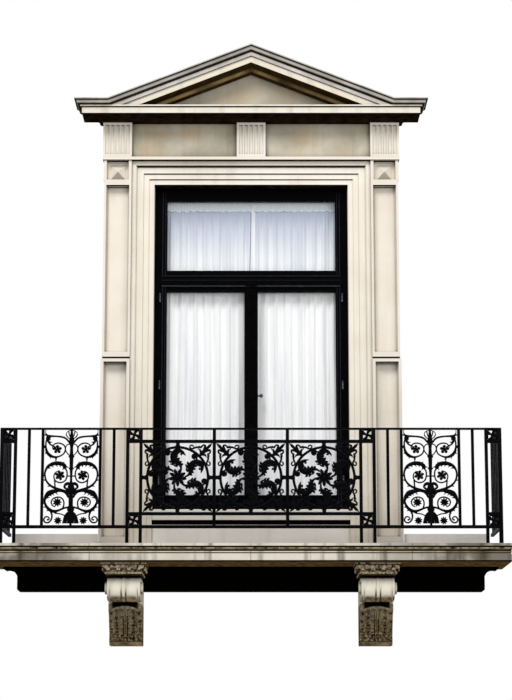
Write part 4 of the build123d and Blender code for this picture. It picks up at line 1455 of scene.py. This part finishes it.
@dataclass
class NetCurtain:
    """One gathered net curtain on the rod, its heading pressed flat behind the top of the frame."""

    name: str
    side: int
    line: float
    inner: float = -9.0
    outer: float = 747.0
    foot: float = 383.0
    top: float = 2955.0
    front: float = -184.5
    gather: float = 4.0
    folds: float = 16.0
    columns: int = 260
    rows: int = 64
    thickness: float = 0.8
    pleats: float = 30.0
    soft_folds: float = 8.5
    fine_folds: float = 19.0
    sway: float = 6.0
    seed: int = 5

    def depth_at(self, across: float, down: float, dice: Widths) -> float:
        """How far the cloth stands from its middle line.

        Args:
            across: Share of the width, from the parting.
            down: Share of the height, from the heading.
            dice: Fixed random phases.

        Returns:
            Offset in millimetres.
        """
        calm = min(1.0, down * 9)
        tight = self.gather * (1 - 0.75 * calm) * sin(2 * pi * (self.pleats * across + dice[0] + 0.3 * sin(7 * across)))
        wander = 0.16 * sin(3.1 * down + 9 * across + dice[1]) + 0.05 * sin(11 * down + dice[2])
        soft = sin(2 * pi * (self.soft_folds * across + wander + dice[3]) + 1.6 * sin(5 * across + dice[4]))
        fine = sin(2 * pi * (self.fine_folds * across + 0.5 * wander + dice[5]))
        hanging = tight + calm * (self.folds * 0.72 * soft + self.folds * 0.22 * fine)
        pressed = max(0.0, min(1.0, 2 - 25 * down))
        return hanging * (1 - pressed) + (self.front - self.line + tight / 2) * pressed

    def build(self, net: Material) -> None:
        """Make the cloth as a fine grid and lay its folds.

        Args:
            net: Finish of the cloth.
        """
        chance = random.Random(self.seed + self.side)
        dice = [chance.random() * 6 for _ in range(6)]
        bpy.ops.object.select_all(action="DESELECT")
        bpy.ops.mesh.primitive_grid_add(x_subdivisions=self.columns, y_subdivisions=self.rows, size=1)
        piece = bpy.context.object
        piece.name = self.name
        vertices = piece.data.vertices
        for vertex in vertices:
            across, down = vertex.co.x + 0.5, 0.5 - vertex.co.y
            offset = self.depth_at(across, down, dice)
            sway = self.sway * sin(2.4 * down + self.side) * (1 - across)
            x = self.side * (self.inner + (self.outer - self.inner) * across) + sway
            z = self.top - (self.top - self.foot) * down
            vertex.co = at(x, z, self.line + offset)
        bpy.ops.object.modifier_add(type="SOLIDIFY")
        piece.modifiers[0].thickness = self.thickness * MM
        bpy.ops.object.modifier_apply(modifier=piece.modifiers[0].name)
        bpy.ops.object.shade_smooth()
        piece.data.materials.append(net)
        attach(piece, "root")
        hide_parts("curtain_right" if self.side > 0 else "curtain_left")


@dataclass
class Facade:
    """The stone, joinery and plain ironwork that the CAD gives, each in its finish."""

    def dress(self) -> None:
        """Give every carried-over node its finish."""
        # The under tones below are painted shade on soffits, near black under the architrave's head, and each stone's
        # corners darken as painted shade.
        pale = Stone("pale_stone", PALE, tone(228, 217, 198), under=tone(20, 16, 12), streaks=0.12,
                     corner_shade=0.85, patches=0.4)
        head = Stone("head_stone", tone(246, 238, 226), tone(222, 212, 194), under=tone(5, 4, 3),
                     stain_and_shade=tone(40, 32, 22), streaks=0.12, corner_shade=0.75)
        block = Stone("block_stone", tone(244, 236, 225), tone(218, 208, 192), under=tone(40, 32, 24), streaks=0.15,
                      corner_shade=0.5)
        # The frieze's wide reach spreads the corner darkening over its top as painted shadow of the cornice.
        dull = Stone("frieze_stone", tone(214, 205, 186), tone(158, 149, 130), stain_and_shade=tone(50, 40, 28), streaks=0.2,
                     patches=0.85, corner_shade=0.9, reach=0.24, warmth=0.6, warm=tone(196, 168, 124), pale_below=3.3145)
        # The tympanum's wide reach darkens it as painted shade under the raking cornice.
        gable = Stone("tympanum_stone", tone(212, 204, 186), tone(170, 161, 142), streaks=0.12, patches=0.7,
                      reach=0.2, warmth=0.35)
        # The crown's under tone and dark band are painted shade on its soffit and on the bed moulding under the corona,
        # with painted shadow lines at the band's edges.
        crown = Stone("crown_stone", tone(236, 229, 214), tone(208, 199, 182), under=tone(15, 9, 5),
                      stain_and_shade=tone(40, 30, 18), streaks=0.22, band=(3.606, 3.637), down_shade=0.8)
        rake = RakeStone("rake_stone", tone(232, 222, 204), tone(150, 146, 138), under=tone(60, 45, 24),
                         stain_and_shade=tone(38, 27, 12), patches=0.12, streaks=0.2, corner_shade=0.85, reach=0.05, down_shade=0.2)
        # The slab's under tone is brown staining with painted shade on the soffit, the line at -0.065 is a painted
        # shadow under the fascia, and the nosing band's edge lines are painted shadow lines.
        slab = Stone("slab_stone", tone(226, 218, 205), tone(168, 160, 142), under=tone(108, 83, 48),
                     stain_and_shade=tone(50, 41, 26), streaks=0.9, corner_shade=0.85, reach=0.03, dark_ends=0.75, joint_pitch=0.62,
                     band=(0.016, 0.044), band_tone=tone(172, 164, 136), line=0.0052, edges=(-0.065,))
        # The bed moulding is near black as painted shadow under the slab.
        bed = Stone("shadowed_bed_stone", tone(6, 4, 3), tone(4, 3, 2), under=tone(4, 3, 2), stain_and_shade=tone(3, 2, 1), streaks=0.5,
                    warmth=0.0)
        carved = ConsoleStone("carved_stone", tone(255, 250, 236), tone(232, 220, 196), under=tone(156, 136, 104),
                              stain_and_shade=tone(36, 27, 16), patches=0.3, streaks=0.25, corner_shade=0.9, reach=0.03, down_shade=0.15)
        # The cap's corners and cavities darken near black as painted shade.
        cap = Stone("cap_stone", tone(226, 208, 178), tone(124, 104, 76), under=tone(96, 74, 46),
                    stain_and_shade=tone(9, 6, 4), corner_shade=1.0, reach=0.05, mottle=0.95, down_shade=0.25)
        apron = Stone("apron_stone", tone(255, 250, 242), tone(236, 228, 216), streaks=0.1, corner_shade=0.2, patches=0.1,
                      warmth=0.05)
        # The sill's under tone and dark band are painted shadow under its nosing, over the recessed bed.
        sill = Stone("sill_stone", tone(244, 238, 227), tone(216, 208, 194), under=tone(9, 7, 6),
                     stain_and_shade=tone(30, 24, 18), streaks=0.1, band=(0.280, 0.3195))
        finishes = {
            pale: ["architrave_left", "architrave_right"],
            head: ["architrave_head"],
            block: ["fluted_blocks"],
            dull: ["frieze"],
            gable: ["tympanum"],
            crown: ["cornice"],
            rake: ["raking_cornice_left", "raking_cornice_right"],
            slab: ["balcony_slab"],
            bed: ["bed_moulding"],
            carved: ["consoles"],
            cap: ["console_caps"],
            apron: ["door_apron", "wall_base"],
            sill: ["door_sill"],
            GlossPaint(): ["window_frame", "fanlight_sash", "door_leaf_left", "door_leaf_right", "cover_strip"],
            Glass(): ["glass_panes"],
            Metal("dull_brass", tone(178, 150, 96), tone(118, 98, 62)): ["curtain_rod"],
        }
        for finish, nodes in finishes.items():
            dress(nodes, finish.mix())
        LOG.info("dressed the facade in %d finishes", len(finishes))


@dataclass
class Studio:
    """Camera in the street below, white surroundings and soft lamps."""

    eye: Vector = field(default_factory=lambda: Vector((0.04, -17.25, -1.576)))
    tilt: float = 10.8
    lens: float = 110.9
    sensor: float = 36.0
    far: float = 200.0
    aim: Vector = field(default_factory=lambda: Vector((0, 0, 1.6)))
    lamps: list[tuple[Size, float, float]] = field(default_factory=lambda: [
        ((-4, -11, 13), 7, 1650), ((8, -13, 4), 8, 560)])
    sky: tuple[float, ...] = (0.95, 0.97, 1.0, 1)
    sky_strength: float = 0.35
    floor_level: float = -3.2
    floor_size: float = 70.0

    def set_camera(self) -> None:
        """Stand the camera below the balcony, looking up at it."""
        bpy.ops.object.camera_add(location=self.eye, rotation=(radians(90 + self.tilt), 0, 0))
        camera = bpy.context.object
        camera.data.lens = self.lens
        camera.data.sensor_width = self.sensor
        camera.data.clip_end = self.far
        bpy.context.scene.camera = camera

    def set_lamps(self) -> None:
        """Hang one broad soft lamp high in front and a weaker one across from it."""
        for place, size, power in self.lamps:
            bpy.ops.object.light_add(type="AREA", location=place)
            lamp = bpy.context.object
            lamp.data.shape = "DISK"
            lamp.data.size = size
            lamp.data.energy = power
            lamp.rotation_euler = (self.aim - lamp.location).to_track_quat("-Z", "Y").to_euler()

    def set_world(self) -> None:
        """Make the surroundings white to the eye and softly lit from all round."""
        world = bpy.data.worlds.new("studio")
        bpy.context.scene.world = world
        world.use_nodes = True
        tree = world.node_tree
        tree.nodes.clear()
        path = tree.nodes.new("ShaderNodeLightPath")
        seen = path.outputs["Is Camera Ray"]
        for name in ("Is Glossy Ray", "Is Transmission Ray"):
            either = tree.nodes.new("ShaderNodeMath")
            either.operation = "MAXIMUM"
            tree.links.new(seen, either.inputs[0])
            tree.links.new(path.outputs[name], either.inputs[1])
            seen = either.outputs[0]
        soft = tree.nodes.new("ShaderNodeBackground")
        soft.inputs["Color"].default_value = self.sky
        soft.inputs["Strength"].default_value = self.sky_strength
        white = tree.nodes.new("ShaderNodeBackground")
        white.inputs["Color"].default_value = (1, 1, 1, 1)
        blend = tree.nodes.new("ShaderNodeMixShader")
        tree.links.new(seen, blend.inputs[0])
        tree.links.new(soft.outputs[0], blend.inputs[1])
        tree.links.new(white.outputs[0], blend.inputs[2])
        output = tree.nodes.new("ShaderNodeOutputWorld")
        tree.links.new(blend.outputs[0], output.inputs["Surface"])

    def set_floor(self) -> None:
        """Lay the pale studio floor far below."""
        bpy.ops.object.select_all(action="DESELECT")
        bpy.ops.mesh.primitive_plane_add(size=self.floor_size, location=(0, 0, self.floor_level))
        floor = bpy.context.object
        floor.name = "studio_floor"
        floor.data.materials.append(StudioFloor().mix())

    def build(self) -> None:
        """Set up everything round the object."""
        self.set_camera()
        self.set_lamps()
        self.set_world()
        self.set_floor()
        bpy.context.scene.view_settings.view_transform = "Standard"
        LOG.info("studio is ready")


def main() -> None:
    """Build and dress every piece in order."""
    logging.basicConfig(level=logging.INFO, format="%(message)s")
    Studio().build()
    Facade().dress()
    iron = CastIron().mix()
    dress(["handrail", "bottom_rail", "panel_rails", "plain_bars", "side_railings"], iron)
    RailPosts().build(iron)
    # The pilasters' near-black under tone is painted shade on the soffits of the panels' steps and the bosses' lower
    # facets, and their corners darken as painted shade.
    Pilasters().build(Stone("pilaster_stone", tone(240, 232, 220), tone(224, 214, 196), under=tone(26, 17, 11),
                            stain_and_shade=tone(20, 13, 9), streaks=0.12, patches=0.4, corner_shade=0.9, reach=0.024, down_shade=0.36,
                            soffit_shade_from=-0.66).mix())
    RingPanel().build(iron)
    ScrollPanel().build(iron)
    SquareCastings().build(iron)
    ConsoleCarving().build(finish_of("consoles"), finish_of("console_caps"))
    # The beads' grey paint is a painted highlight along the panes' edges.
    DoorFittings().build(Metal("worn_steel", tone(88, 94, 106), tone(50, 54, 62)).mix(), finish_of("cover_strip"),
                         GlossPaint("bead_highlight_paint", tone(38, 40, 48), tone(78, 82, 94)).mix())
    net = Net().mix()
    NetCurtain("net_right", 1, -196.5).build(net)
    NetCurtain("net_left", -1, -203.5, front=-188.5).build(net)


if __name__ == "__main__":
    main()
